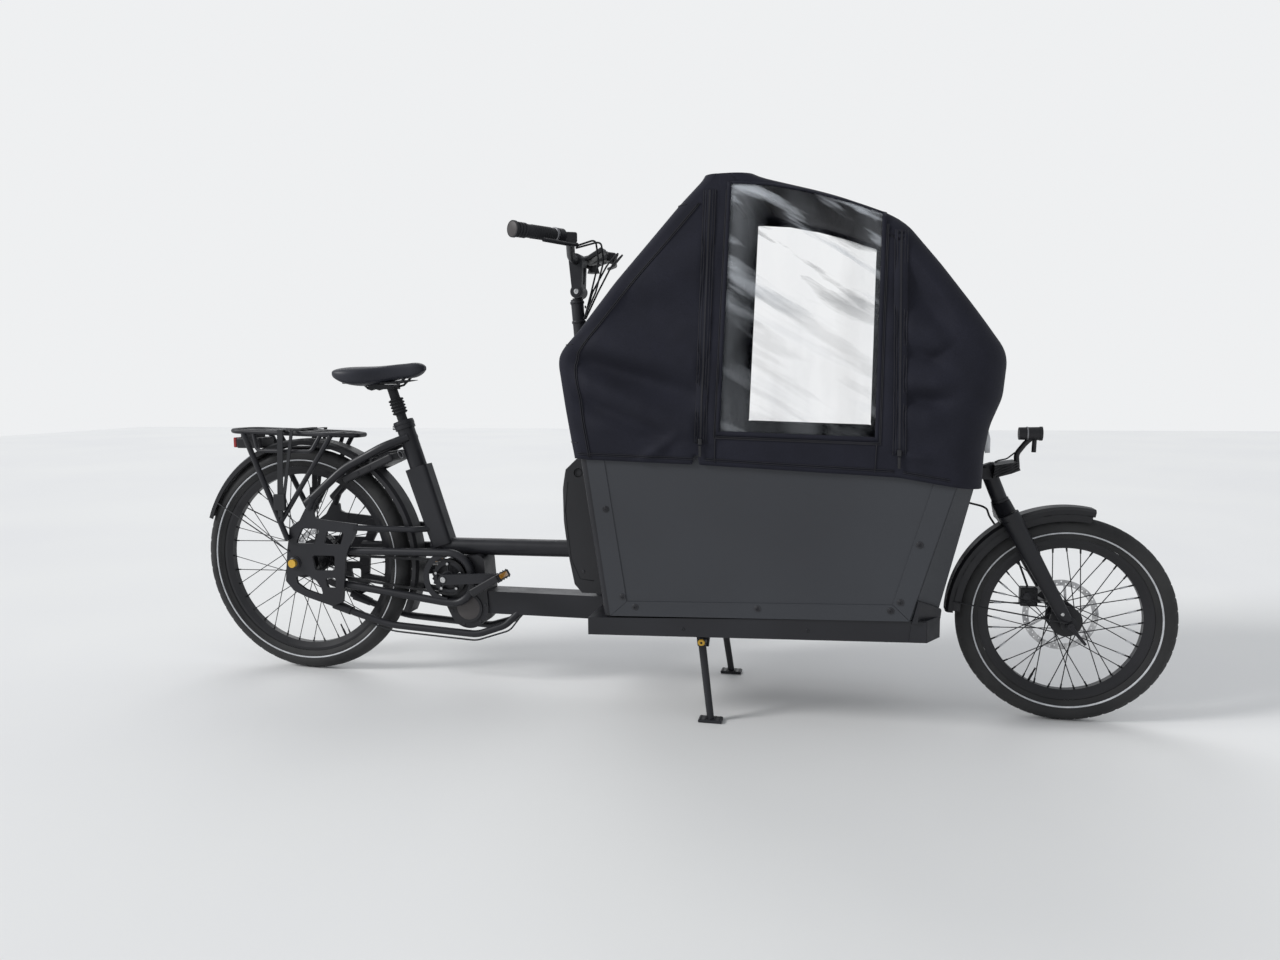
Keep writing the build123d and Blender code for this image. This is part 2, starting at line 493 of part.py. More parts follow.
# Crank, pedals and chain
a = radians(CRANK_RISE)
pedal_x = BB_X + CRANK_LEN * cos(a)
pedal_z = BB_Z + CRANK_LEN * sin(a)
back_x = BB_X - CRANK_LEN * cos(a)
back_z = BB_Z - CRANK_LEN * sin(a)


def arm(y_low, y_high, x, z):
    hull = make_hull([*(Pos(BB_X, BB_Z) * Circle(15)).edges(), *(Pos(x, z) * Circle(12)).edges()])
    return extrude(Plane.XZ.offset(-y_high) * hull, amount=y_high - y_low)


bb_axle = rod((BB_X, -CRANK_Y, BB_Z), (BB_X, CRANK_Y, BB_Z), 15 - PIN_FIT)
chainring = toothed(BB_X, BB_Z, -CHAIN_Y, RING_PITCH_R, RING_TEETH, TOOTH_T, 36)
spider = disc(BB_X, BB_Z, -CHAIN_Y - 5, -CHAIN_Y - TOOTH_T / 2, 20)
ring_bolts = []
for i in range(5):
    c = radians(72 * i + 20)
    tip = (BB_X + 39 * cos(c), -CHAIN_Y - 2.8, BB_Z + 39 * sin(c))
    spider = spider.fuse(rod((BB_X, -CHAIN_Y - 2.8, BB_Z), tip, 2.2))
    ring_bolts.append(rod((tip[0], -CHAIN_Y - 5.5, tip[2]), (tip[0], -CHAIN_Y + 1, tip[2]), 5))
crank = bb_axle.fuse(chainring, spider, *ring_bolts, arm(-CRANK_Y - CRANK_T / 2, -CRANK_Y + CRANK_T / 2, pedal_x, pedal_z),
                     arm(CRANK_Y - CRANK_T / 2, CRANK_Y + CRANK_T / 2, back_x, back_z))
put("crank", crank)


PEDAL_HALF, PEDAL_HALF_T = 45.0, 10.5


def pedal(x, z, side, turn):
    """Platform pedal on its spindle, tilted as it stands."""
    near = CRANK_Y + CRANK_T / 2 + 2
    body = block(-PEDAL_HALF, PEDAL_HALF, near + 8, near + 98, -PEDAL_HALF_T, PEDAL_HALF_T, 4)
    body -= block(-PEDAL_HALF + 9, -13, near + 20, near + 86, -20, 20)
    body -= block(13, PEDAL_HALF - 9, near + 20, near + 86, -20, 20)
    spindle = rod((0, near - 2 + FIT, 0), (0, near + 10, 0), 8)
    whole = body.fuse(spindle)
    if side < 0:
        whole = mirror(whole, about=Plane.XZ)
    return Pos(x, 0, z) * Rot(0, turn, 0) * whole


put("right_pedal", pedal(pedal_x, pedal_z, -1, -30))
put("left_pedal", pedal(back_x, back_z, 1, -30))

# Chain: one closed band round the chain wheels, with room for their teeth
def chain_loop(swell):
    near_ring = Pos(BB_X, BB_Z) * Circle(RING_PITCH_R + swell)
    near_sprocket = Pos(0, REAR_R) * Circle(SPROCKET_PITCH_R + swell)
    return extrude(Plane.XZ.offset(CHAIN_Y - CHAIN_HALF_W) * make_hull([*near_ring.edges(), *near_sprocket.edges()]),
                   amount=2 * CHAIN_HALF_W)


chain = chain_loop(CHAIN_H / 2) - chain_loop(-CHAIN_H / 2)
for x, z, pitch_r in [(BB_X, BB_Z, RING_PITCH_R), (0, REAR_R, SPROCKET_PITCH_R)]:
    chain -= disc(x, z, -CHAIN_Y - TOOTH_T / 2 - TOOTH_ROOM, -CHAIN_Y + TOOTH_T / 2 + TOOTH_ROOM, pitch_r + 3.1)
put("chain", chain)

# Ring lock round the rear tyre, leaning along the seat stays
LOCK_X, LOCK_UP = 232.0, 278.0
lock_dir = degrees(atan2(70, 159))
lock_body = block(-84, 88, -54, 54, -12, 12, 7)
lock_arms = block(-100, 34, -38, 38, -20, 20, 9)
lock_hump = block(22, 84, -46, 46, 8, 19, 5)
lock = Pos(LOCK_X, 0, REAR_R + LOCK_UP) * Rot(0, -lock_dir, 0) * (lock_body.fuse(lock_hump) - lock_arms)
lock_clamp = rod((LOCK_X + 14, -47, REAR_R + 286), (LOCK_X + 14, -47, REAR_R + 308), 6)
put("ring_lock", lock.fuse(*both(lock_clamp - stay)))

# Luggage rack, its light and its straps
RACK_R, RACK_Y, RACK_Z = 7.0, 62.0, REAR_R + REAR_GUARD_DZ + REAR_GUARD_R + 17.0
deck = pipe([(-213, 0, RACK_Z + 7), (-213, -RACK_Y, RACK_Z + 7), (122, -RACK_Y, RACK_Z - 3), (190, -24, RACK_Z - 6), (190, 0, RACK_Z - 6)],
            [46, 60, 18], RACK_R)
cross_bars = [rod((x, -RACK_Y, RACK_Z + 2 - x / 40), (x, RACK_Y, RACK_Z + 2 - x / 40), 5) for x in (-100, 40, 120)]
long_bars = [rod((-213, y, RACK_Z + 7), (150, y, RACK_Z - 3), 4) for y in (-22, 22)]
nose_bar = rod((150, -24, RACK_Z - 3), (150, 24, RACK_Z - 3), 4.5)
LEG_FOOT_Y = REAR_DROP_Y + DROP_T + 8 + FIT
rear_leg = rod((-157, -RACK_Y, RACK_Z), (-13, -LEG_FOOT_Y, REAR_R + 69), 8)
front_leg = rod((128, -RACK_Y, RACK_Z - 6), (-38, -LEG_FOOT_Y + 4, REAR_R + 117), 7)
side_rail = pipe([(-124, -RACK_Y, RACK_Z - 2), (-104, -74, RACK_Z - 50), (72, -74, RACK_Z - 50), (94, -RACK_Y, RACK_Z - 6)], [18, 18], 6)
light_house = block(-206, -122, -34, 34, RACK_Z - 46, RACK_Z - 14, 6).fuse(block(-190, -150, -30, 30, RACK_Z - 16, RACK_Z + 2))
rack = deck.fuse(mirror(deck, about=Plane.XZ), *cross_bars, *long_bars, nose_bar, light_house)
rack = rack.fuse(*both(rear_leg), *both(front_leg), *both(side_rail))
put("rack", rack)
rear_light = block(-216, -206 - FIT, -32, 32, RACK_Z - 44, RACK_Z - 14, 3)
put("rear_light", rear_light)
STRAP_Y, STRAP_T, STRAP_DROP = 86.0, 2.5, 176.0
STRAP_TOP = RACK_Z + 2 + RACK_R + FIT
strap_low = RACK_Z - STRAP_DROP
straps = []
for top_x, low_x, half in [(-18, -27, 9), (20, -14, 5)]:
    drop = side_plate([(top_x - half, STRAP_TOP + STRAP_T), (top_x + half, STRAP_TOP + STRAP_T), (low_x + half, strap_low),
                       (low_x - half, strap_low)], -STRAP_Y - STRAP_T, -STRAP_Y)
    over = block(top_x - half, top_x + half, -STRAP_Y, STRAP_Y, STRAP_TOP, STRAP_TOP + STRAP_T)
    straps.append(over.fuse(*both(drop)))
buckle = block(-46, -8, -STRAP_Y - 10, -STRAP_Y, strap_low - 46, strap_low + 2, 3)
hook = block(-34, -18, -STRAP_Y - 8, -STRAP_Y - 2, strap_low - 66, strap_low - 40, 2)
put("rack_straps", straps[0].fuse(straps[1], *both(buckle), *both(hook)))


# Load box: planes of its walls
def floor_z(x):
    """Top of the tray at a place along the bike."""
    return BOX_FLOOR_Z + (x - BOX_REAR_X) * BOX_SLOPE


def wall_y(z):
    """Half width of the box outside at a height."""
    return BOX_HALF_LOW + (z - BOX_FLOOR_Z) * BOX_FLARE


flare = atan2(BOX_FLARE, 1)
wall_plane = Plane(origin=(0, -BOX_HALF_LOW, BOX_FLOOR_Z), x_dir=(1, 0, 0), z_dir=(0, -cos(flare), -sin(flare)))


def wall_panel(outline, out, thick):
    """Sheet in the plane of the right-hand wall, from (x, z) corners; out is how far its face stands proud."""
    face = make_face(Polyline(*[(x, (z - BOX_FLOOR_Z) / cos(flare)) for x, z in outline], close=True))
    return extrude(wall_plane.offset(out) * face, amount=-thick)


side = wall_panel([REAR_LOW, FRONT_LOW, FRONT_TOP, REAR_TOP], 0, BOX_WALL)
# Trim strips along the panel's edges, mitred at its lower corners
STRIP_T, MITRE_GAP = 1.6, 0.7
STRIP_REAR, STRIP_LOW, STRIP_FRONT = 44.0, 38.0, 50.0
inner_rear_low = (REAR_LOW[0] + STRIP_REAR, REAR_LOW[1] + STRIP_LOW + 2)
inner_front_low = (FRONT_LOW[0] - STRIP_FRONT + 11, FRONT_LOW[1] + STRIP_LOW)
STRIPS = [
    [REAR_LOW, (inner_rear_low[0], inner_rear_low[1]), (REAR_TOP[0] + STRIP_REAR, REAR_TOP[1]), REAR_TOP],
    [(REAR_LOW[0] + 2 * MITRE_GAP, REAR_LOW[1]), FRONT_LOW, inner_front_low, (inner_rear_low[0] + 2 * MITRE_GAP, inner_rear_low[1])],
    [(FRONT_LOW[0], FRONT_LOW[1] + 2 * MITRE_GAP), FRONT_TOP, (FRONT_TOP[0] - STRIP_FRONT, FRONT_TOP[1]),
     (inner_front_low[0], inner_front_low[1] + 2 * MITRE_GAP)],
]
side = side.fuse(*[wall_panel(strip, STRIP_T, STRIP_T + 0.5) for strip in STRIPS])
put("right_side_panel", side)
put("left_side_panel", mirror(side, about=Plane.XZ))
# Tray: a shallow pan open below, its front end folded in to a narrower nose
TRAY_FRONT_X, NOSE_TIP_X, NOSE_HALF_W = WHEELBASE - 343.0, WHEELBASE - 310.0, 185.0
TRAY_FRONT_LOW_Z = 244.0


def tray_block(inset, low_drop):
    """The tray's outer block, or its hollow where an inset is given."""
    rear_x = BOX_REAR_X + inset
    front_x = NOSE_TIP_X - inset
    half = BOX_HALF_LOW - inset
    from_side = side_plate([(rear_x, floor_z(rear_x) - inset), (front_x, floor_z(front_x) - inset), (front_x, TRAY_FRONT_LOW_Z - low_drop),
                            (rear_x, BOX_FLOOR_Z - TRAY_H - low_drop)], -half, half)
    nose_half = NOSE_HALF_W - inset
    plan = make_face(Polyline((rear_x, -half), (TRAY_FRONT_X - inset / 2, -half), (front_x, -nose_half), (front_x, nose_half),
                              (TRAY_FRONT_X - inset / 2, half), (rear_x, half), close=True))
    return from_side & extrude(Pos(0, 0, 100) * plan, amount=300)


tray = tray_block(0, 0) - tray_block(TRAY_WALL, 60) - lower_tube
wall_foot = side_plate([(NOSE_LOW[0] - 70, NOSE_LOW[1] - FIT), (NOSE_LOW[0] + 40, NOSE_LOW[1] - FIT), (NOSE_LOW[0] + 40, 330),
                        (NOSE_LOW[0] - 70, 330)], -300, 300)
tray -= wall_foot
gusset_low = side_plate([(WHEELBASE - 378, 293), (WHEELBASE - 383, 244), (WHEELBASE - 345, 246), (WHEELBASE - 345, 293)],
                        -BOX_HALF_LOW - 3, -BOX_HALF_LOW + 0.5)
gusset_high = wall_panel([(WHEELBASE - 378, 290), (WHEELBASE - 365, 346), (WHEELBASE - 361, 344), (WHEELBASE - 365, 290)], 6, 5.6)
gusset = gusset_low.fuse(gusset_high)
# Corner plate: leaves the wall's plane and follows the nose's slanted face inwards
FOLD_FOOT, FOLD_TOP = (WHEELBASE - 368, -245.5, 290), (WHEELBASE - 363, -252, 348)
FOLD_RUN, FOLD_T = 58.5, 1.8


def fold_section(x, y, z):
    """Plan section of the corner plate, as far forwards as inwards."""
    return Pos(0, 0, z) * make_face(Polyline((x, y), (x + FOLD_RUN, y + FOLD_RUN), (x + FOLD_RUN - FOLD_T, y + FOLD_RUN + FOLD_T),
                                             (x - FOLD_T, y + FOLD_T), close=True))


fold = loft([fold_section(*FOLD_FOOT), fold_section(*FOLD_TOP)], ruled=True)
fold = fold & side_plate([(WHEELBASE - 375, 280), (WHEELBASE - 371, 348), (WHEELBASE - 309, 314), (WHEELBASE - 300, 280)], -260, -150)
put("box_tray", tray.fuse(*both(gusset), *both(fold)))
spine_x = (BOX_REAR_X + TRAY_WALL, TRAY_FRONT_X - TRAY_WALL)
spine = side_plate([(spine_x[0], floor_z(spine_x[0]) - TRAY_WALL), (spine_x[1], floor_z(spine_x[1]) - TRAY_WALL),
                    (spine_x[1], 250), (spine_x[0], 215)], -35, 35)
put("box_spine", spine)
FLOOR_T = 6.0
BENCH_REAR, BENCH_FRONT, BENCH_TOP, BENCH_T = BOX_REAR_X + 67.0, BOX_REAR_X + 357.0, 460.0, 20.0
floor_x = (BENCH_FRONT + 2 * FIT, FRONT_LOW[0] - 4)
floor = side_plate([(floor_x[0], floor_z(floor_x[0]) + FLOOR_T + FIT), (floor_x[1], floor_z(floor_x[1]) + FLOOR_T + FIT),
                    (floor_x[1], floor_z(floor_x[1]) + FIT), (floor_x[0], floor_z(floor_x[0]) + FIT)],
                   -BOX_HALF_LOW + 12, BOX_HALF_LOW - 12)
put("box_floor", floor)


def u_section(x, z, half, depth, toward, thick, chamfer):
    """Plan section of an end wall: flat across, chamfered corners and a short return along each side."""
    s = toward
    outer = [(x, -half + chamfer), (x, half - chamfer), (x - s * chamfer, half), (x - s * (chamfer + depth), half),
             (x - s * (chamfer + depth), half - thick), (x - s * (chamfer + thick * 0.4), half - thick),
             (x - s * thick, half - chamfer - thick * 0.4), (x - s * thick, -half + chamfer + thick * 0.4),
             (x - s * (chamfer + thick * 0.4), -half + thick), (x - s * (chamfer + depth), -half + thick),
             (x - s * (chamfer + depth), -half), (x - s * chamfer, -half)]
    return Pos(0, 0, z) * make_face(Polyline(*outer, close=True))


def rounded_section(x, z, half, depth, thick, radius):
    """Plan section of the rear wall: flat across, with round corners and a short return forwards along each side."""
    face = Pos(x + (radius + depth) / 2, 0, z) * Rectangle(radius + depth, 2 * half)
    face = fillet(face.vertices().filter_by(lambda v: v.X < x + 1), radius)
    room = Pos(x + thick + (radius + depth) / 2, 0, z) * Rectangle(radius + depth, 2 * (half - thick))
    room = fillet(room.vertices().filter_by(lambda v: v.X < x + thick + 1), radius - thick)
    return face - room


rear_wall = loft([rounded_section(REAR_LOW[0] - REAR_LIP, REAR_LOW[1], wall_y(REAR_LOW[1]) - 2, 3.2, 6, 14),
                  rounded_section(REAR_TOP[0] - REAR_LIP, REAR_TOP[1], wall_y(REAR_TOP[1]) - 2, 3.2, 6, 14)], ruled=True)
put("box_rear_wall", rear_wall)
nose_chamfers = [x - (FRONT_LOW[0] + (FRONT_TOP[0] - FRONT_LOW[0]) * (z - FRONT_LOW[1]) / (FRONT_TOP[1] - FRONT_LOW[1])) - 2.8
                 for x, z in (NOSE_LOW, NOSE_TOP)]
front_wall = loft([u_section(NOSE_LOW[0], NOSE_LOW[1], wall_y(NOSE_LOW[1]) - 2, 2, 1, 6, nose_chamfers[0]),
                   u_section(NOSE_TOP[0], NOSE_TOP[1], wall_y(NOSE_TOP[1]) - 2, 2, 1, 6, nose_chamfers[1])], ruled=True)
put("box_front_wall", front_wall)
bench = block(BENCH_REAR, BENCH_FRONT, -225, 225, BENCH_TOP - BENCH_T, BENCH_TOP, 4)
bench_front = side_plate([(BENCH_FRONT - 14, floor_z(BENCH_FRONT - 14) + FIT), (BENCH_FRONT - 4, floor_z(BENCH_FRONT - 4) + FIT),
                          (BENCH_FRONT - 4, BENCH_TOP - BENCH_T + 1), (BENCH_FRONT - 14, BENCH_TOP - BENCH_T + 1)], -222, 222)
put("bench", bench.fuse(bench_front))

# Battery housing behind the box, with a channel for the handlebar column; (back from the box's rear, height)
BATTERY_LOW, BATTERY_TOP, BATTERY_HALF_W = 302.0, 658.0, 150.0
BATTERY_BACK = [(52, 656), (82, 628), (93, 574), (91, 495), (75, 389), (62, 325), (42, 303)]
battery_side = [(rear_face_x(BATTERY_TOP) - FIT, BATTERY_TOP), *[(BOX_REAR_X - back, z) for back, z in BATTERY_BACK],
                (rear_face_x(BATTERY_LOW) - FIT, BATTERY_LOW)]
battery = side_plate(battery_side, -BATTERY_HALF_W, BATTERY_HALF_W)
battery = battery & extrude(Pos((BOX_REAR_X - 12, 0, 200)) * RectangleRounded(166, 2 * BATTERY_HALF_W, 16), amount=600)
battery -= block(BOX_REAR_X - 103, BOX_REAR_X + 57, -42, 42, 250, 700)
for side in (-1, 1):
    battery -= rod((BOX_REAR_X - 48, side * (BATTERY_HALF_W - 4), 620), (BOX_REAR_X - 48, side * (BATTERY_HALF_W + 4), 620), 12)
put("battery_case", battery)

# Handlebar column and the turning parts on it
quill = rod(on_column(COLUMN_JOINT_Z - 110), on_column(1080), 12 - PIN_FIT)
BAR_R = 11.0
stem_clamp = rod(on_column(COLUMN_JOINT_Z + FIT), on_column(1076), 17)
BAR_X, BAR_Z, BAR_RISE = COLUMN_X - 2.0, 1178.0, 36.0
PIVOT_Z, PIVOT_R = 1096.0, 18.0
pivot = rod((COLUMN_X, -22, PIVOT_Z), (COLUMN_X, 22, PIVOT_Z), PIVOT_R).fuse(
    rod((COLUMN_X, -24, PIVOT_Z), (COLUMN_X, 24, PIVOT_Z), PIVOT_R - 6))
bar_hole = rod((BAR_X, -30, BAR_Z), (BAR_X, 30, BAR_Z), BAR_R + PIN_FIT)
stem_side = make_hull([*(Pos(COLUMN_X, PIVOT_Z) * Circle(13)).edges(), *(Pos(BAR_X, BAR_Z) * Circle(19)).edges()])
stem_arm = extrude(Plane.XZ.offset(-22) * stem_side, amount=44)
stem_slot = block(COLUMN_X - 60, COLUMN_X + 60, -7, 7, PIVOT_Z + 20, BAR_Z - 18)
stem_upper = stem_arm - stem_slot - bar_hole
stem = quill.fuse(stem_clamp, pivot, stem_upper)
put("stem", stem)
SWEEP_X, GRIP_X, GRIP_Y, HAND_Z = BAR_X + 35.0, BAR_X - 54.0, 332.0, BAR_Z + BAR_RISE
bar_right = [(BAR_X, -26, BAR_Z), (BAR_X + 3, -70, BAR_Z + 2), (SWEEP_X, -180, HAND_Z), (GRIP_X, -GRIP_Y, HAND_Z)]
bar = pipe(bar_right, [120, 70], BAR_R)
bar_middle = rod((BAR_X, -26, BAR_Z), (BAR_X, 26, BAR_Z), BAR_R)
bar_whole = bar_middle.fuse(*both(bar))
put("handlebar", bar_whole)
grip_dir = Vector(GRIP_X - SWEEP_X, -GRIP_Y + 180, 0).normalized()
grip_end = Vector(GRIP_X, -GRIP_Y, HAND_Z)
grip_start = grip_end - grip_dir * 128
grip = rod(tuple(grip_start), tuple(grip_end), 16) - rod(tuple(grip_start - grip_dir), tuple(grip_end + grip_dir), 11)
grip_cap = rod(tuple(grip_end), tuple(grip_end + grip_dir * 6), 20)
put("grips", both(grip.fuse(grip_cap)))
lever_at = grip_start - grip_dir * 22
lever_neck = rod((BAR_X + 24, -198, HAND_Z - 6), (BAR_X + 53, -192, HAND_Z - 18), 9, 7)
shifter = Pos(BAR_X + 30, -190, HAND_Z - 2) * Rot(0, 0, 30) * block(-14, 24, -16, 16, -14, 12, 5)
lever_body = rod(tuple(lever_at), tuple(lever_at + grip_dir * 18), 18) - rod(tuple(lever_at - grip_dir), tuple(lever_at + grip_dir * 20), 11)
blade = pipe([(BAR_X + 55, -186, HAND_Z - 20), (BAR_X + 46, -226, HAND_Z - 24), (BAR_X + 6, -298, HAND_Z - 22)], [40], 5)
put("brake_levers", both(lever_body.fuse(lever_neck, shifter, blade) - bar_whole))
display = Pos(BAR_X + 34, 54, BAR_Z + 20) * Rot(0, -30, 0) * block(-30, 30, -24, 24, -7, 7, 4)
display_arm = rod((BAR_X + 6, 40, BAR_Z + 12), (BAR_X + 22, 44, BAR_Z + 16), 6)
bell = rod((BAR_X + 26, 62, BAR_Z - 26), (BAR_X + 26, 62, BAR_Z - 6), 17, 12).fuse(
    rod((BAR_X + 6, 62, BAR_Z - 6), (BAR_X + 24, 62, BAR_Z - 14), 5))
put("display", [display.fuse(display_arm) - bar_whole, bell - bar_whole])
CABLE_R = 2.4
cables = []
for side in (-1, 1):
    for reach, port in [(52, 8), (38, 3)]:
        cables.append(pipe([(BAR_X + 52, side * 184, HAND_Z - 20 - port), (BAR_X + reach + 46, side * 118, HAND_Z + 4 - port),
                            (BAR_X + reach + 32, side * 42, BAR_Z - 8), (BAR_X + reach, side * (port + 2), BAR_Z - 84),
                            (COLUMN_X + 15, side * port, COLUMN_JOINT_Z + 62)], [34, 44, 40], CABLE_R))
put("bar_cables", [cable - bar_whole - stem for cable in cables])

# Centre stand
stand_bar = rod((STAND_X, -STAND_Y, STAND_Z), (STAND_X, STAND_Y, STAND_Z), 11)
stand_leg = rod((STAND_X, -STAND_Y + 8, STAND_Z), (FOOT_X, -FOOT_Y, 6), 10, 9)
foot = block(FOOT_X - 30, FOOT_X + 30, -FOOT_Y - 18, -FOOT_Y + 18, 0, 8, 3)
put("stand", stand_bar.fuse(*both(stand_leg), *both(foot)))
bracket = side_plate([(STAND_X - 25, floor_z(STAND_X - 25) - TRAY_WALL - FIT), (STAND_X + 25, floor_z(STAND_X + 25) - TRAY_WALL - FIT),
                      (STAND_X + 14, STAND_Z - 18), (STAND_X - 14, STAND_Z - 18)], -158, -148)
bracket -= rod((STAND_X, -200, STAND_Z), (STAND_X, 0, STAND_Z), 11 + FIT)
put("stand_brackets", both(bracket))

# Ribbed cover over the head tube, and the headlamp on it
COVER_HALF_W, COVER_RIBS = 46.0, 4
cover_side = [(HEAD_X - 16, 611), (HEAD_X + 50, 630), (HEAD_X + 41, 652), (HEAD_X - 12, 643)]
cover = side_plate(cover_side, -COVER_HALF_W, COVER_HALF_W)
cover_plan = make_face(Polyline((HEAD_X - 30, -COVER_HALF_W), (HEAD_X + 26, -COVER_HALF_W), (HEAD_X + 52, -26), (HEAD_X + 52, 26),
                                (HEAD_X + 26, COVER_HALF_W), (HEAD_X - 30, COVER_HALF_W), close=True))
cover = cover & extrude(Pos(0, 0, 560) * cover_plan, amount=140)
for i in range(COVER_RIBS):
    z = 618 + 6.4 * i
    groove = side_plate([(HEAD_X - 40, z - 6), (HEAD_X + 80, z + 26), (HEAD_X + 80, z + 28.4), (HEAD_X - 40, z - 3.6)], -80, 80)
    core = extrude(Pos(0, 0, 560) * offset(cover_plan, -3, kind=Kind.INTERSECTION), amount=140)
    cover -= groove - core
cover -= rod(on_head(20), on_head(HEAD_HIGH + 3), HEAD_R + FIT)
cover -= block(nose_x(600), HEAD_X - 10, -BEAM_HALF_W - FIT, BEAM_HALF_W + FIT, BEAM_LOW - 20, BEAM_HIGH + FIT)
put("head_cover", cover)
LAMP_X, LAMP_Z = HEAD_X + 47.0, 719.0
lamp = rod((LAMP_X, 0, LAMP_Z), (LAMP_X + 52, 0, LAMP_Z), 15.5, 16.5)
lamp_lip = rod((LAMP_X + 48, 0, LAMP_Z), (LAMP_X + 54, 0, LAMP_Z), 17.5)
lamp_foot = rod((LAMP_X + 37, 0, LAMP_Z - 12), (LAMP_X + 36, 0, LAMP_Z - 46), 5.5)
lamp_stay = pipe([(HEAD_X + 46, 0, 634), (HEAD_X + 43, 0, 668), (HEAD_X + 62, 0, 694), (HEAD_X + 74, 0, 706)], [26, 14], 6.5)
put("headlamp", lamp.fuse(lamp_lip, lamp_foot, lamp_stay) - cover)
lamp_cable = pipe([(HEAD_X + 40, 0, 672), (HEAD_X + 22, 4, 656), (HEAD_X + 4, 12, 651), (HEAD_X - 2, 26, 646)], [14, 8], 1.8)
put("lamp_cable", lamp_cable - cover - lamp_stay)

# Canopy: a closed skin, open below, with a window cut in each side
# Side outline as (x, z): the rear points follow the box's rear, the front ones the wheelbase
REAR_SHELL = [(-31, 670), (-46, 910), (-35, 936), (306, 1312), (397, 1320)]
FRONT_SHELL = [(-575, 1270), (-447, 1220), (-407, 1192), (-189, 922), (-181, 893), (-186, 812), (-214, 748), (-225, 690), (-228, 612),
               (-417, 641), (-867, 662)]
SHELL = [*[(BOX_REAR_X + x, z) for x, z in REAR_SHELL], *[(WHEELBASE + x, z) for x, z in FRONT_SHELL]]
HEM_HALF = wall_y(700) + STRIP_T + CANOPY_T + 3 * FIT
ROOF_ROUND, FRONT_ROUND, REAR_ROUND = 32.0, 100.0, 28.0


def canopy_solid(grow):
    """Closed block of the canopy, shrunk all round by grow for the inside."""
    face = offset(make_face(Polyline(*SHELL, close=True)), -grow) if grow else make_face(Polyline(*SHELL, close=True))
    body = extrude(Plane.XZ.offset(-400) * face, amount=800)
    low, top = 560, 1322
    hem = HEM_HALF - grow
    front_view = make_face(Polyline((-hem, low), (hem, low), (hem - 3, top - ROOF_ROUND), (hem - 3 - ROOF_ROUND, top),
                                    (-hem + 3 + ROOF_ROUND, top), (-hem + 3, top - ROOF_ROUND), close=True))
    rear_x = BOX_REAR_X - 48 + grow
    front_x = WHEELBASE - 179 - grow
    plan = make_face(Polyline((rear_x, -hem), (front_x, -hem), (front_x, hem), (rear_x, hem), close=True))
    plan = fillet(plan.vertices().filter_by(lambda v: v.X > MID_X), FRONT_ROUND - grow)
    plan = fillet(plan.vertices().filter_by(lambda v: v.X < rear_x + 1), REAR_ROUND - grow)
    return body & extrude(Plane.YZ.offset(800) * front_view, amount=1400) & extrude(Pos(0, 0, low) * plan, amount=900)


canopy_out = canopy_solid(0)
canopy_in = canopy_solid(CANOPY_T)
hem_rear_x, hem_front_x = BOX_REAR_X - 31 + CANOPY_T, WHEELBASE - 233
below = side_plate([(hem_rear_x, 690), (hem_front_x, 660), (hem_front_x, 560), (hem_rear_x, 560)], -HEM_HALF + CANOPY_T, HEM_HALF - CANOPY_T)
WINDOW = [(BOX_REAR_X + 365, 1296), (BOX_REAR_X + 342, 738), (WHEELBASE - 467, 725), (WHEELBASE - 460, 1212)]
window_cut = side_plate(WINDOW, -400, 400)
canopy = canopy_out - canopy_in - below
beam_notch = block(WHEELBASE - 247, WHEELBASE - 197, -BEAM_HALF_W - 2, BEAM_HALF_W + 2, 560, BEAM_HIGH + 2)
put("canopy", canopy - window_cut - beam_notch)
pane_face = offset(make_face(Polyline(*WINDOW, close=True)), -FIT, kind=Kind.INTERSECTION)
pane_cut = extrude(Plane.XZ.offset(-400) * pane_face, amount=800)
panes = (canopy_out - canopy_solid(1.5)) & pane_cut
put("windows", panes)
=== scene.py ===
"""Electric cargo bike with load box and rain canopy: finishes, sewn cloth, tyres and small parts.

Metres. X runs forwards, Y to the rider's left, Z up, and the ground is z = 0. Places on the bike are
given from the rear axle through at(), as in the part's source.
"""
import json
import math
from math import cos, pi, radians, sin, sqrt

import bmesh
import bpy
from mathutils import Matrix, Vector, noise


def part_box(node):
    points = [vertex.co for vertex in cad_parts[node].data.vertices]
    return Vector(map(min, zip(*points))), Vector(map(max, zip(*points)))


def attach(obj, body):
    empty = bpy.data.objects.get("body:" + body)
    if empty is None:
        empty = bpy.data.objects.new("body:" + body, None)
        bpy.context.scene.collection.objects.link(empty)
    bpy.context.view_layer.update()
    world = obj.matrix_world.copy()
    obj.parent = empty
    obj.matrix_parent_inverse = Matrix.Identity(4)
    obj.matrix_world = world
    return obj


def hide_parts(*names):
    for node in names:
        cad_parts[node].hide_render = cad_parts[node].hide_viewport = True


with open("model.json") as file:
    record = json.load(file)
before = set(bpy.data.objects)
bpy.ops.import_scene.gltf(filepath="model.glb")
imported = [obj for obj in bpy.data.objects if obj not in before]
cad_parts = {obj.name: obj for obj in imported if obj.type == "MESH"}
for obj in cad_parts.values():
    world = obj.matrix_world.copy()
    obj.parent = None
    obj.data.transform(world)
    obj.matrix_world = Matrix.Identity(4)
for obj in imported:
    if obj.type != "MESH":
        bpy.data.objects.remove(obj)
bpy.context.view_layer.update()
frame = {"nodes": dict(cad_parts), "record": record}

SIDES = (-1, 1)


def middle(node):
    low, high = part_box(node)
    return (Vector(low) + Vector(high)) / 2


REAR_HUB = middle("rear_tyre")
FRONT_HUB = middle("front_tyre")


def at(x, y, z):
    """Point of the bike, with x measured from the rear axle."""
    return Vector((REAR_HUB.x + x, y, z))


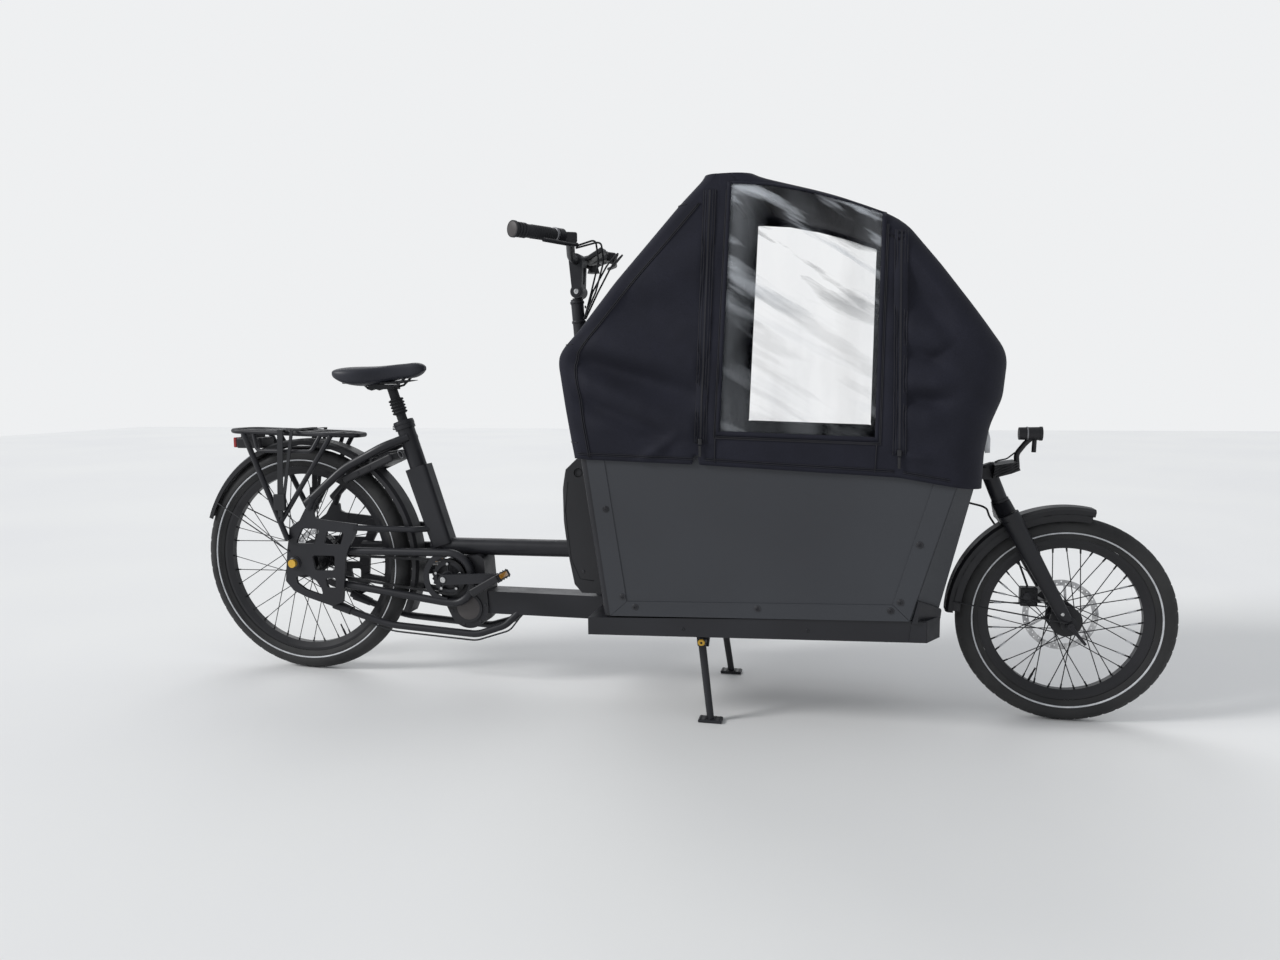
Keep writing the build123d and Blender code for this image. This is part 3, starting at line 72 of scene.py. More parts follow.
# Camera as fitted to the photo
CAMERA_AT = Vector((0.5794, -2.4162, 0.8523))
CAMERA_YAW, CAMERA_PITCH, CAMERA_ROLL = -0.231, -0.1063, -0.0079
FOCAL_PX, IMAGE_W, SENSOR_MM = 915.8, 1280.0, 36.0
# Colour and strength of the light from all round, and of the backdrop that is seen
SKY = {"Color": (0.93, 0.96, 1.0, 1), "Strength": 0.6}
BACKDROP = {"Color": (0.86, 0.87, 0.88, 1), "Strength": 1.0}
# Name, strength, width in degrees and turn in degrees of each sun
SUNS = [("key", 1.9, 16, (60, 0, -62)), ("rim", 0.6, 40, (-50, 0, 25))]


def add_camera():
    level = Vector((cos(CAMERA_YAW), -sin(CAMERA_YAW), 0))
    forward = Vector((sin(CAMERA_YAW) * cos(CAMERA_PITCH), cos(CAMERA_YAW) * cos(CAMERA_PITCH),
                      sin(CAMERA_PITCH)))
    upright = level.cross(forward)
    right = level * cos(CAMERA_ROLL) + upright * sin(CAMERA_ROLL)
    up = upright * cos(CAMERA_ROLL) - level * sin(CAMERA_ROLL)
    data = bpy.data.cameras.new("photo_camera")
    data.sensor_width = SENSOR_MM
    data.lens = FOCAL_PX / IMAGE_W * SENSOR_MM
    camera = bpy.data.objects.new("photo_camera", data)
    turn = Matrix((right, up, -forward)).transposed()
    camera.matrix_world = Matrix.Translation(CAMERA_AT) @ turn.to_4x4()
    bpy.context.collection.objects.link(camera)
    bpy.context.scene.camera = camera


def set_inputs(node, values):
    """Set a node's inputs by their names, in which an underscore stands for a space."""
    for socket, value in values.items():
        node.inputs[socket.replace("_", " ")].default_value = value


def new_node(tree, kind, **values):
    node = tree.nodes.new("ShaderNode" + kind)
    set_inputs(node, values)
    return node


def feed(node, socket, output):
    """Link an output to a node's input."""
    node.id_data.links.new(output, node.inputs[socket])


def maths(tree, operation, a, b):
    """Maths node fed by two outputs."""
    node = new_node(tree, "Math")
    node.operation = operation
    feed(node, 0, a)
    feed(node, 1, b)
    return node


def add_light():
    """World that lights with the sky but shows the backdrop, and two suns."""
    world = bpy.data.worlds.new("studio")
    bpy.context.scene.world = world
    world.use_nodes = True
    tree = world.node_tree
    tree.nodes.clear()
    mix = new_node(tree, "MixShader")
    path = new_node(tree, "LightPath").outputs
    seen = maths(tree, "MAXIMUM", path["Is Camera Ray"], path["Is Transmission Ray"])
    feed(mix, "Fac", seen.outputs[0])
    feed(mix, 1, new_node(tree, "Background", **SKY).outputs[0])
    feed(mix, 2, new_node(tree, "Background", **BACKDROP).outputs[0])
    feed(new_node(tree, "OutputWorld"), "Surface", mix.outputs[0])
    for name, strength, width, turn in SUNS:
        data = bpy.data.lights.new(name, "SUN")
        data.energy = strength
        data.angle = radians(width)
        lamp = bpy.data.objects.new(name, data)
        lamp.rotation_euler = [radians(v) for v in turn]
        bpy.context.collection.objects.link(lamp)


# Finishes
SPECULAR = 0.38


def new_material(name, color, rough, metallic=0.0, **sockets):
    mat = bpy.data.materials.new(name)
    mat.use_nodes = True
    bsdf = mat.node_tree.nodes["Principled BSDF"]
    set_inputs(bsdf, {"Base_Color": (*color, 1), "Roughness": rough, "Metallic": metallic})
    set_inputs(bsdf, {"Specular_IOR_Level": SPECULAR, **sockets})
    return mat


def mapped(tree, vector, **values):
    mapping = new_node(tree, "Mapping", **values)
    feed(mapping, "Vector", vector)
    return mapping.outputs["Vector"]


def coordinates(mat, stretch=(1, 1, 1), turn=0.0):
    """Object coordinates turned about the bike's crosswise axis, then stretched."""
    tree = mat.node_tree
    vector = new_node(tree, "TexCoord").outputs["Object"]
    if turn:
        vector = mapped(tree, vector, Rotation=(0, turn, 0))
    return mapped(tree, vector, Scale=stretch)


def noise_node(mat, scale, detail, stretch=(1, 1, 1), turn=0.0, distortion=0.0):
    node = new_node(mat.node_tree, "TexNoise", Scale=scale, Detail=detail, Distortion=distortion)
    feed(node, "Vector", coordinates(mat, stretch, turn))
    return node.outputs["Fac"]


def ramp(mat, value, low, high, start=0.35, end=0.65):
    """Colour between two, by a value that is mostly between start and end."""
    node = new_node(mat.node_tree, "ValToRGB")
    for element, position, color in zip(node.color_ramp.elements, (start, end), (low, high)):
        element.position = position
        element.color = (*color, 1)
    feed(node, "Fac", value)
    return node.outputs["Color"]


def span(mat, value, low, high, start=0.3, end=0.7):
    """Number from low to high while a value goes from start to end."""
    node = new_node(mat.node_tree, "MapRange", From_Min=start, From_Max=end, To_Min=low, To_Max=high)
    feed(node, "Value", value)
    return node.outputs["Result"]


def times(mat, a, b):
    return maths(mat.node_tree, "MULTIPLY", a, b).outputs[0]


def wire(mat, output, socket):
    feed(mat.node_tree.nodes["Principled BSDF"], socket, output)


def bump(mat, height, strength, distance):
    node = new_node(mat.node_tree, "Bump", Strength=strength, Distance=distance)
    feed(node, "Height", height)
    wire(mat, node.outputs["Normal"], "Normal")


def painted(name, dark, light, rough, metallic=0.0, grain=900.0, strength=0.25, blotch=5.0, **sockets):
    """Coat with a slow drift between colours in thousandths, an uneven gloss and a fine grain."""
    dark, light = [tuple(v / 1000 for v in color) for color in (dark, light)]
    mat = new_material(name, light, rough, metallic, **sockets)
    wire(mat, ramp(mat, noise_node(mat, blotch, 5.0), dark, light), "Base Color")
    wire(mat, span(mat, noise_node(mat, blotch * 4, 4.0), rough - 0.07, rough + 0.1), "Roughness")
    bump(mat, noise_node(mat, grain, 2.0), strength, 0.00015)
    return mat


def woven(name, dark, light, rough, thread, **sockets):
    """Plain weave: two crossed sets of threads, thread metres apart, and a slow drift of colour."""
    mat = new_material(name, light, rough, **sockets)
    place = coordinates(mat)
    sets = []
    for direction in ("X", "Z"):
        wave = new_node(mat.node_tree, "TexWave", Scale=2 * pi / (20 * thread), Distortion=0.6)
        wave.bands_direction = direction
        feed(wave, "Vector", place)
        sets.append(wave.outputs["Fac"])
    shade = times(mat, noise_node(mat, 14.0, 6.0), noise_node(mat, 420.0, 2.0))
    wire(mat, ramp(mat, shade, dark, light, 0.12, 0.42), "Base Color")
    bump(mat, times(mat, *sets), 0.18, 0.0003)
    return mat


def film():
    """Worn clear film: thin and glossy, with painted reflection streaks below its upper corner and a milky
    bloom.
    """
    # Light base colour that the alpha shows: as painted reflection in the streaks and as milkiness in the
    # haze
    mat = new_material("window_film", (0.62, 0.65, 0.69), 0.06, Coat_Weight=0.35, Coat_Roughness=0.05)
    tree = mat.node_tree
    # Painted reflection: slanting streaks of the light base colour that run down from the window's upper
    # corner
    reflection_streaks = noise_node(mat, 17.0, 4.0, (0.13, 1.0, 1.0), radians(-30), 0.25)
    parts = new_node(tree, "SeparateXYZ")
    feed(parts, "Vector", coordinates(mat))
    # The painted reflection is stronger towards the window's top
    high = span(mat, parts.outputs["Z"], 0.16, 1.0, 1.00, 1.18)
    bright = times(mat, span(mat, reflection_streaks, 0.0, 0.50, 0.52, 0.61), high)
    haze = span(mat, noise_node(mat, 6.0, 7.0, (1, 1, 0.25)), 0.0, 0.13, 0.46, 0.78)
    total = maths(tree, "ADD", bright, haze)
    total.use_clamp = True
    wire(mat, total.outputs[0], "Alpha")
    wire(mat, span(mat, noise_node(mat, 40.0, 4.0), 0.03, 0.16), "Roughness")
    bump(mat, noise_node(mat, 14.0, 4.0), 0.6, 0.006)
    return mat


def finishes():
    """The materials, by the record's slot names, and a few more for trim."""
    return {
        "frame_black": painted("powder_coat", (11.5, 11.5, 14.5), (16.5, 17, 21), 0.42, strength=0.35),
        "panel_grey": painted("panel_coat", (34, 36, 42), (42, 45, 52), 0.5, grain=1400.0,
            strength=0.4, blotch=2.5),
        "tyre": painted("tyre_rubber", (18, 18, 19), (32, 32, 32), 0.74, grain=500.0, blotch=9.0),
        "rim_black": painted("rim_coat", (10, 10, 12), (15, 15, 18), 0.38),
        "steel": painted("brushed_steel", (420, 420, 430), (600, 600, 600), 0.32, 1.0, blotch=30.0),
        "brass": painted("yellow_passivated", (620, 360, 50), (780, 500, 90), 0.38, 0.55),
        "plastic_black": painted("black_plastic", (11, 11, 13), (17, 17, 20), 0.46, grain=1800.0),
        "saddle_skin": painted("saddle_cover", (14, 15, 22), (21, 22, 31), 0.5, grain=1100.0, strength=0.5),
        "canvas": woven("tent_cloth", (0.0088, 0.0092, 0.0158), (0.0140, 0.0146, 0.0245), 0.8, 0.0006,
            Sheen_Weight=0.03, Sheen_Roughness=0.4, Specular_IOR_Level=0.25),
        "red_lens": painted("red_lens", (300, 12, 10), (400, 20, 15), 0.18, Coat_Weight=0.5),
        "rubber": painted("rubber", (12, 12, 14), (20, 21, 24), 0.66, grain=700.0),
        "aluminium": painted("cast_aluminium", (200, 200, 210), (320, 320, 330), 0.42, 0.9, blotch=20.0),
        "clear_film": film(),
        "thread": painted("sewing_thread", (8, 8, 11), (16, 16, 22), 0.7, grain=2000.0),
        "reflective": painted("reflective_band", (460, 470, 490), (620, 630, 650), 0.45, grain=2500.0,
            blotch=40.0),
        "bolt": painted("bolt_black", (30, 30, 33), (60, 60, 65), 0.34, 0.7),
        "bright": painted("bright_screw", (500, 500, 500), (660, 660, 660), 0.26, 1.0, blotch=60.0),
        "chain_black": painted("blackened_chain", (14, 14, 15), (30, 30, 32), 0.4, 0.6, blotch=60.0),
        "motor_face": painted("motor_cover", (55, 50, 50), (75, 68, 68), 0.5, grain=1600.0),
        "amber": painted("amber_reflector", (550, 240, 30), (700, 340, 50), 0.2, Coat_Weight=0.5),
        "lens": painted("lamp_lens", (550, 560, 570), (750, 760, 780), 0.12, Coat_Weight=1.0),
        "screen": painted("screen_glass", (8, 9, 11), (12, 13, 16), 0.08, Coat_Weight=0.6),
    }


add_camera()
add_light()
MATERIALS = finishes()
SUBPARTS = frame["record"]["subparts"]
# Pieces that look darker than their slot
DARKER = {"chain": "chain_black", "front_caliper": "plastic_black"}
floor_paint = painted("floor_paint", (780, 780, 780), (810, 810, 800), 0.7, blotch=0.6)

for entry in SUBPARTS:
    piece = frame["nodes"][entry["node"]]
    piece.data.materials.clear()
    piece.data.materials.append(MATERIALS[DARKER.get(entry["node"], entry["material_slot"])])


# Meshes
def mesh_piece(name, mesh, material, body="frame", smooth=True, replaces=()):
    """Object of a mesh, with its material and the body it rides."""
    if smooth:
        mesh.polygons.foreach_set("use_smooth", [True] * len(mesh.polygons))
    piece = bpy.data.objects.new(name, mesh)
    bpy.context.collection.objects.link(piece)
    mesh.materials.append(MATERIALS[material])
    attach(piece, body)
    if replaces:
        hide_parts(*replaces)
    return piece


def grid_faces(rows, columns, wrap_rows=False, wrap_columns=False):
    faces = []
    for i in range(rows if wrap_rows else rows - 1):
        for j in range(columns if wrap_columns else columns - 1):
            here, ahead = i * columns, (i + 1) % rows * columns
            beside = (j + 1) % columns
            faces.append((here + j, here + beside, ahead + beside, ahead + j))
    return faces


def each(value, count):
    """A list as it is, or one value repeated."""
    return value if isinstance(value, list) else [value] * count


class Shape:
    """Vertices and faces gathered for one piece."""

    def __init__(self):
        self.verts, self.faces = [], []

    def add(self, verts, faces):
        start = len(self.verts)
        self.verts += verts
        self.faces += [tuple(start + k for k in f) for f in faces]

    def tube(self, points, radius, sides=8):
        """Round tube through points; radius is one number or one for each point."""
        last = len(points) - 1
        radii = each(radius, last + 1)
        rings = []
        normal = (points[1] - points[0]).normalized().orthogonal().normalized()
        for i, p in enumerate(points):
            along = (points[min(i + 1, last)] - points[max(i - 1, 0)]).normalized()
            normal = (normal - along * normal.dot(along)).normalized()
            other = along.cross(normal)
            for k in range(sides):
                a = 2 * pi * k / sides
                rings.append(p + (normal * cos(a) + other * sin(a)) * radii[i])
        faces = grid_faces(last + 1, sides, False, True)
        faces += [tuple(reversed(range(sides))), tuple(last * sides + k for k in range(sides))]
        self.add(rings, faces)

    def ribbon(self, points, outward, width, thick):
        """Flat band along points; outward is its face's normal, one or one for each point."""
        last = len(points) - 1
        normals, widths = each(outward, last + 1), each(width, last + 1)
        rings = []
        for i, p in enumerate(points):
            along = (points[min(i + 1, last)] - points[max(i - 1, 0)]).normalized()
            side = along.cross(normals[i]).normalized() * widths[i] / 2
            up = normals[i] * thick
            rings += [p - side, p - side * 0.92 + up, p + side * 0.92 + up, p + side]
        faces = grid_faces(last + 1, 4, False, True)
        faces += [(3, 2, 1, 0), tuple(last * 4 + k for k in range(4))]
        self.add(rings, faces)

    def lathe(self, profile, origin, axis, segments, start=0.0, turn=2 * pi):
        """Surface turned about an axis from (along, radius) pairs."""
        axis = Vector(axis).normalized()
        u = axis.orthogonal().normalized()
        v = axis.cross(u)
        closed = turn == 2 * pi
        steps, count = segments if closed else segments + 1, len(profile)
        rings = []
        for i in range(steps):
            a = start + turn * i / segments
            direction = u * cos(a) + v * sin(a)
            rings += [origin + axis * along + direction * r for along, r in profile]
        faces = grid_faces(steps, count, closed, False)
        if not closed:
            last = (steps - 1) * count
            faces += [tuple(reversed(range(count))), tuple(last + k for k in range(count))]
        self.add(rings, faces)

    def box(self, centre, size, bevel, axes=((1, 0, 0), (0, 1, 0), (0, 0, 1))):
        """Block, its edges cut by bevel."""
        x, y, z = [Vector(a) for a in axes]
        work = bmesh.new()
        bmesh.ops.create_cube(work, size=1.0)
        bmesh.ops.scale(work, vec=size, verts=work.verts)
        bmesh.ops.bevel(work, geom=list(work.edges), offset=bevel, segments=2, affect="EDGES", profile=0.6)
        work.verts.index_update()
        verts = [centre + x * v.co.x + y * v.co.y + z * v.co.z for v in work.verts]
        faces = [tuple(v.index for v in f.verts) for f in work.faces]
        work.free()
        self.add(verts, faces)

    def piece(self, name, material, body="frame", **options):
        mesh = bpy.data.meshes.new(name)
        mesh.from_pydata([tuple(v) for v in self.verts], [], self.faces)
        mesh.update()
        return mesh_piece(name, mesh, material, body, **options)


def clamped(value):
    return min(1.0, max(0.0, value))


def table(points, value):
    """Straight-line value of a table of (key, value) pairs, held at its ends."""
    if value <= points[0][0]:
        return points[0][1]
    for (k0, v0), (k1, v1) in zip(points, points[1:]):
        if value <= k1:
            return v0 + (v1 - v0) * (value - k0) / (k1 - k0)
    return points[-1][1]


def smooth_table(points, value, reach):
    """The table's value averaged over a reach on both sides, which rounds its corners."""
    return sum(table(points, value + reach * k / 4) for k in range(-4, 5)) / 9


# Floor
FLOOR_HALF = 14.0
floor_mesh = bpy.data.meshes.new("floor")
corners = [(x * FLOOR_HALF, y * FLOOR_HALF, 0) for x, y in ((-1, -1), (1, -1), (1, 1), (-1, 1))]
floor_mesh.from_pydata(corners, [], [(0, 1, 2, 3)])
floor_mesh.materials.append(floor_paint)
floor = bpy.data.objects.new("floor", floor_mesh)
bpy.context.collection.objects.link(floor)


def metres(rows):
    """Rows of lengths given in millimetres."""
    return [tuple(v / 1000 for v in row) for row in rows]


# Canopy: (height, place) pairs of its rear and front edges, and (place, height) pairs of its hem
REAR_EDGE = metres([
    (664, 926), (789, 904), (902, 887), (928, 894), (984, 947), (1087, 1030), (1181, 1116),
    (1259, 1187), (1322, 1251),
])
FRONT_EDGE = metres([
    (612, 1877), (690, 1880), (748, 1891), (812, 1917), (893, 1923), (922, 1915), (1105, 1775),
    (1195, 1700), (1222, 1657), (1270, 1532), (1322, 1345),
])
HEM = metres([(912, 669), (1240, 658), (1690, 635), (1830, 611), (1879, 606)])
CANOPY_TOP = 1.322
# Half width at a height, and how far the corners reach inwards
HALF_WIDTH = metres([(612, 293), (660, 297.5), (700, 300), (950, 299), (1300, 293.5)])
REAR_CORNER = 0.03
FRONT_CORNER_X = metres([
    (612, 85), (800, 105), (920, 100), (1000, 60), (1170, 55), (1240, 110), (1318, 110),
])
FRONT_CORNER_Y = metres([
    (612, 85), (800, 105), (920, 90), (1000, 55), (1170, 45), (1240, 35), (1318, 35),
])
# The window: its upper edge follows the roof, and its lower corners
WINDOW_TOP = metres([
    (1309, 1298.5), (1334, 1297.5), (1403, 1289.5), (1481, 1272.5), (1570, 1245.5), (1646, 1216.5),
])
WINDOW_LOW = metres([(1639, 724.5), (1284, 736.5)])
WINDOW_CENTRE = (1.468, 0.99)
# Slit in the hem below the rear zip, and the height below which its edge is never drawn downwards
SLIT = metres([(1218.5, 650), (1239.5, 650), (1231, 700)])
SLIT_FOOT = 0.668
# Half width past which a face lies on a side wall
WALL_FROM = 0.2588
# Where the window keeps the side wall calm: from, to, lowest height and the share of the folds left
CALM_FROM, CALM_TO, CALM_LOW, CALM_SHARE = 1.284, 1.645, 0.73, 0.15
# Dent of the back that leaves the handlebar's column room: depth, half width and top
DENT, DENT_HALF, DENT_TOP = 0.016, 0.22, 1.12
ZIPS = [((1.2630, 1.286), (1.2405, 0.664)), ((1.6845, 1.178), (1.6900, 0.642))]
CLOTH_T = 0.0022
FOLD_GAIN = 2.1
# The load box under the hem: half width at its floor, the floor's height, flare and the walls' top,
# and the room that the cloth leaves it up to a height
BOX_HALF, BOX_FLOOR_Z, BOX_FLARE, BOX_TOP = 0.240, 0.262, 0.123, 0.70
BOX_ROOM, BOX_ROOM_TOP = 0.0050, 0.72
REAR_COLUMNS, CORNER_COLUMNS, SIDE_COLUMNS, LEVELS = 30, 8, 96, 112

# Folds of the side walls: start, end, half width and height, outwards where positive
FOLDS = metres([
    (955, 955, 1222, 885, 36, 7.5), (905, 918, 1225, 822, 26, -8.5), (915, 878, 1215, 742, 30, 10),
    (930, 822, 1170, 712, 22, -6.5), (1105, 672, 1185, 728, 12, 5), (960, 760, 1090, 745, 30, 4.5),
    (1030, 1050, 1170, 990, 40, -5), (1090, 1070, 1240, 1125, 50, 5), (1705, 1050, 1880, 915, 45, -8.5),
    (1700, 980, 1840, 905, 30, 7.5), (1755, 898, 1815, 940, 10, -3.5), (1700, 918, 1780, 890, 14, -4.5),
    (1705, 848, 1860, 832, 22, 7), (1705, 812, 1862, 796, 17, -7), (1700, 770, 1860, 742, 26, 6),
    (1700, 706, 1800, 694, 10, -5), (1705, 688, 1760, 678, 9, 4), (1250, 900, 1275, 720, 12, 2),
    (1660, 1150, 1670, 700, 12, 2),
])


def drift(x, y, z):
    return noise.noise(Vector((x, y, z)))


def nearest(p, a, b):
    """Share of the way from a to b that is level with p, and the nearest point between them."""
    a, b = Vector(a), Vector(b)
    along = b - a
    t = (p - a).dot(along) / along.length_squared
    return t, a + along * clamped(t)


def fold_at(x, z):
    """How far the folds lift the side wall at a place."""
    p = Vector((x, z))
    total = 0.0
    for x0, z0, x1, z1, half, height in FOLDS:
        t, near = nearest(p, (x0, z0), (x1, z1))
        away = (p - near).length / half
        total += FOLD_GAIN * height * clamped(1.15 - abs(t - 0.5) * 1.1) * math.exp(-away * away)
    return total + (drift(x * 9.0, 3.1, z * 14.0) * 0.0022 + drift(x * 30.0, 7.7, z * 22.0) * 0.0007)


def hem_at(x):
    return table(HEM, x)


def wall_out(x, z):
    """Half width of the canopy's side wall at a place; folds die out at the zips and the window."""
    from_zip = min(abs(x - table([(low[1], low[0]), (top[1], top[0])], z)) for top, low in ZIPS)
    window_calm = CALM_SHARE if CALM_FROM < x < CALM_TO and z > CALM_LOW else 1.0
    out = table(HALF_WIDTH, z) + fold_at(x, z) * min(1.0, from_zip / 0.02) * window_calm
    if z < BOX_ROOM_TOP:
        out = max(out, BOX_HALF + (min(z, BOX_TOP) - BOX_FLOOR_Z) * BOX_FLARE + BOX_ROOM)
    return out


def level(v, hem):
    """Height at a share of the way from the hem to the canopy's top."""
    return hem + (CANOPY_TOP - hem) * v


class Ring:
    """Plan of the canopy at a share of its height."""

    def __init__(self, v):
        self.v = v
        self.z_rear, self.z_front = level(v, HEM[0][1]), level(v, HEM[-1][1])
        self.x_rear = smooth_table(REAR_EDGE, self.z_rear, 0.016)
        self.x_front = smooth_table(FRONT_EDGE, self.z_front, 0.014)
        self.half_rear = table(HALF_WIDTH, self.z_rear)
        self.half_front = table(HALF_WIDTH, self.z_front)
        length = self.x_front - self.x_rear
        self.corner = min(REAR_CORNER, length * 0.4)
        self.nose_x = min(smooth_table(FRONT_CORNER_X, self.z_front, 0.03), length * 0.5)
        self.nose_y = smooth_table(FRONT_CORNER_Y, self.z_front, 0.03)
        self.side_start = self.x_rear + self.corner
        self.side_length = length - self.corner - self.nose_x

    def side(self, x):
        """Half width of the cloth at a place along the bike."""
        if x <= self.side_start:
            gone = clamped(1 - (x - self.x_rear) / self.corner)
            return self.half_rear - self.corner + self.corner * sqrt(1 - gone * gone)
        if x < self.side_start + self.side_length:
            z = level(self.v, hem_at(x))
            column = (x - self.side_start) / self.side_length * SIDE_COLUMNS
            calm = min(1.0, min(column, SIDE_COLUMNS - column) / 5.0)
            plain = table(HALF_WIDTH, z)
            return plain + (wall_out(x, z) - plain) * calm
        gone = min(1.0, (x - self.side_start - self.side_length) / self.nose_x)
        return self.half_front - self.nose_y + self.nose_y * sqrt(1 - gone * gone)


def mirrored(points):
    """The points on the bike's other side, in the opposite order."""
    return [Vector((p.x, -p.y, p.z)) for p in reversed(points)]


def canopy_ring(v):
    """Points round the canopy at a share of its height: rear, right side, front and left side."""
    ring = Ring(v)
    right = []
    for i in range(REAR_COLUMNS + 1):
        y = -(ring.half_rear - ring.corner) * i / REAR_COLUMNS
        sag = 0.004 * sin(pi * v) * cos(y * 9.0) + drift(y * 8, 1.0, ring.z_rear * 7) * 0.004
        dent = DENT * cos(min(1.0, abs(y) / DENT_HALF) * pi / 2) ** 2
        dent *= clamped((DENT_TOP - ring.z_rear) / 0.12)
        right.append(Vector((ring.x_rear + sag * 0.6 + dent, y, ring.z_rear)))
    for i in range(1, CORNER_COLUMNS + 1):
        a = pi / 2 * i / CORNER_COLUMNS
        out = ring.half_rear - ring.corner + ring.corner * sin(a)
        right.append(Vector((ring.x_rear + ring.corner * (1 - cos(a)), -out, ring.z_rear)))
    for i in range(1, SIDE_COLUMNS):
        x = ring.side_start + ring.side_length * i / SIDE_COLUMNS
        right.append(Vector((x, -ring.side(x), level(v, hem_at(x)))))
    for i in range(CORNER_COLUMNS + 1):
        a = pi / 2 * i / CORNER_COLUMNS
        x = ring.x_front - ring.nose_x + ring.nose_x * sin(a)
        z = level(v, hem_at(x)) if v < 0.5 else ring.z_front
        right.append(Vector((x, -(ring.half_front - ring.nose_y) - ring.nose_y * cos(a), z)))
    for i in range(1, REAR_COLUMNS + 1):
        y = -(ring.half_front - ring.nose_y) * (1 - i / REAR_COLUMNS)
        calm = min(1.0, (ring.half_front - abs(y)) / 0.08)
        pucker = drift(y * 7, 5.0, ring.z_front * 9) * 0.006 * calm
        right.append(Vector((ring.x_front + pucker - 0.004, y, ring.z_front)))
    return right + mirrored(right[1:-1]), len(right)


def skin_y(x, z):
    """Half width of the cloth at a place on its side."""
    return Ring(clamped((z - hem_at(x)) / (CANOPY_TOP - hem_at(x)))).side(x)


def skin_normal(x, z, side):
    step = 0.003
    lean_x = (skin_y(x + step, z) - skin_y(x - step, z)) / (2 * step)
    lean_z = (skin_y(x, z + step) - skin_y(x, z - step)) / (2 * step)
    return Vector((-lean_x, side, -lean_z)).normalized()


def place(p):
    return at(p.x, p.y, p.z)


def in_outline(x, z, outline):
    inside = False
    for (x0, z0), (x1, z1) in zip(outline, outline[1:] + outline[:1]):
        if (z0 > z) != (z1 > z) and x < (x1 - x0) * (z - z0) / (z1 - z0) + x0:
            inside = not inside
    return inside


def nearest_on(x, z, outline):
    """The outline's point nearest to a place."""
    p = Vector((x, z))
    points = [nearest(p, a, b)[1] for a, b in zip(outline, outline[1:] + outline[:1])]
    return min(points, key=lambda q: (q - p).length)


def canopy_cloth():
    """The cloth, open at its windows and slits, and its area."""
    verts = []
    for j in range(LEVELS + 1):
        ring, reach = canopy_ring((j / LEVELS) ** 0.94)
        verts += ring
    count = len(ring)
    faces = grid_faces(LEVELS + 1, count, False, True)
    # the roof's last strip, between the two sides of the top ring
    top = LEVELS * count
    for k in range(REAR_COLUMNS, reach - REAR_COLUMNS - 1):
        faces.append((top + k, top + k + 1, top + count - k - 1, top + count - k))
    work = bmesh.new()
    made = [work.verts.new(place(v)) for v in verts]
    for f in faces:
        work.faces.new([made[k] for k in f])
    # the holes, with the cloth's edge drawn to their outlines
    gone = []
    for face in work.faces:
        c = face.calc_center_median()
        for outline in (WINDOW_TOP + WINDOW_LOW, SLIT):
            if abs(c.y) > WALL_FROM and in_outline(c.x - REAR_HUB.x, c.z, outline):
                gone.append((face, outline))
    edge_verts = {v: outline for face, outline in gone for v in face.verts}
    bmesh.ops.delete(work, geom=[face for face, outline in gone], context="FACES")
    for v, outline in edge_verts.items():
        if v.is_valid and v.link_faces:
            q = nearest_on(v.co.x - REAR_HUB.x, v.co.z, outline)
            on_hem = outline is SLIT and v.co.z < SLIT_FOOT
            v.co.x = q.x + REAR_HUB.x
            v.co.z = max(q.y, v.co.z) if on_hem else q.y
    bmesh.ops.recalc_face_normals(work, faces=work.faces)
    mesh = bpy.data.meshes.new("canopy_cloth")
    work.to_mesh(mesh)
    area = sum(f.calc_area() for f in work.faces)
    work.free()
    return mesh_piece("canopy_cloth", mesh, "canvas", replaces=("canopy",)), area


# Seams: distance between their points, steps along the hem, lift off the cloth and two radii
SEAM_STEP, HEM_STEPS = 0.012, 40
SEAM_LIFT, SEAM_R, STITCH_R = 0.0012, 0.0011, 0.0008
# Offsets of double seams: at the rear edge, beside the zips, round the window and above the hem
REAR_GAPS, ZIP_GAPS = (0.0, 0.0045), (-0.0135, -0.008, 0.008, 0.0135)
WINDOW_GAPS, HEM_GAPS = (0.014, 0.019), (0.012, 0.016)
# Height above the hem at which the zips end
ZIP_SHORT = 0.045
# (place, height) pairs of the seam along the rear edge and of the seams below the window
REAR_SEAM = metres([
    (968, 672), (948, 800), (936, 890), (944, 925), (1048, 1052), (1137, 1148), (1236, 1258),
])
FLAP_SEAMS = [[(1.276, 0.722), (1.274, 0.664)], [(1.641, 0.712), (1.638, 0.646)],
              [(1.276, 0.722), (1.641, 0.711)]]
# Shares of the canopy's height at which seams cross its back and its front
BACK_SEAMS, FRONT_SEAMS = (0.06, 0.42, 0.90), (0.41, 0.84)
# Ends of the hem's seams, and the front's tongues from top to bottom
HEM_RUNS = metres([(940, 1232), (1252, 1680), (1700, 1800)])
TONGUE = metres([(1890, 752), (1901, 726), (1905, 708), (1907.5, 675)])


def wall_point(x, z, lift, side):
    """Point at a lift off the side wall."""
    return at(x, side * skin_y(x, z), z) + skin_normal(x, z, side) * lift


def dense(points):
    """The line through points, with more points on it."""
    full = []
    for a, b in zip(points, points[1:]):
        steps = max(2, int((Vector(a) - Vector(b)).length / SEAM_STEP))
        full += [(a[0] + (b[0] - a[0]) * k / steps, a[1] + (b[1] - a[1]) * k / steps)
                 for k in range(steps)]
    return full + [points[-1]]


def grown(points, grow):
    """The points moved away from the window's centre."""
    centre = Vector(WINDOW_CENTRE)
    return [tuple(Vector(c) + (Vector(c) - centre).normalized() * grow) for c in points]


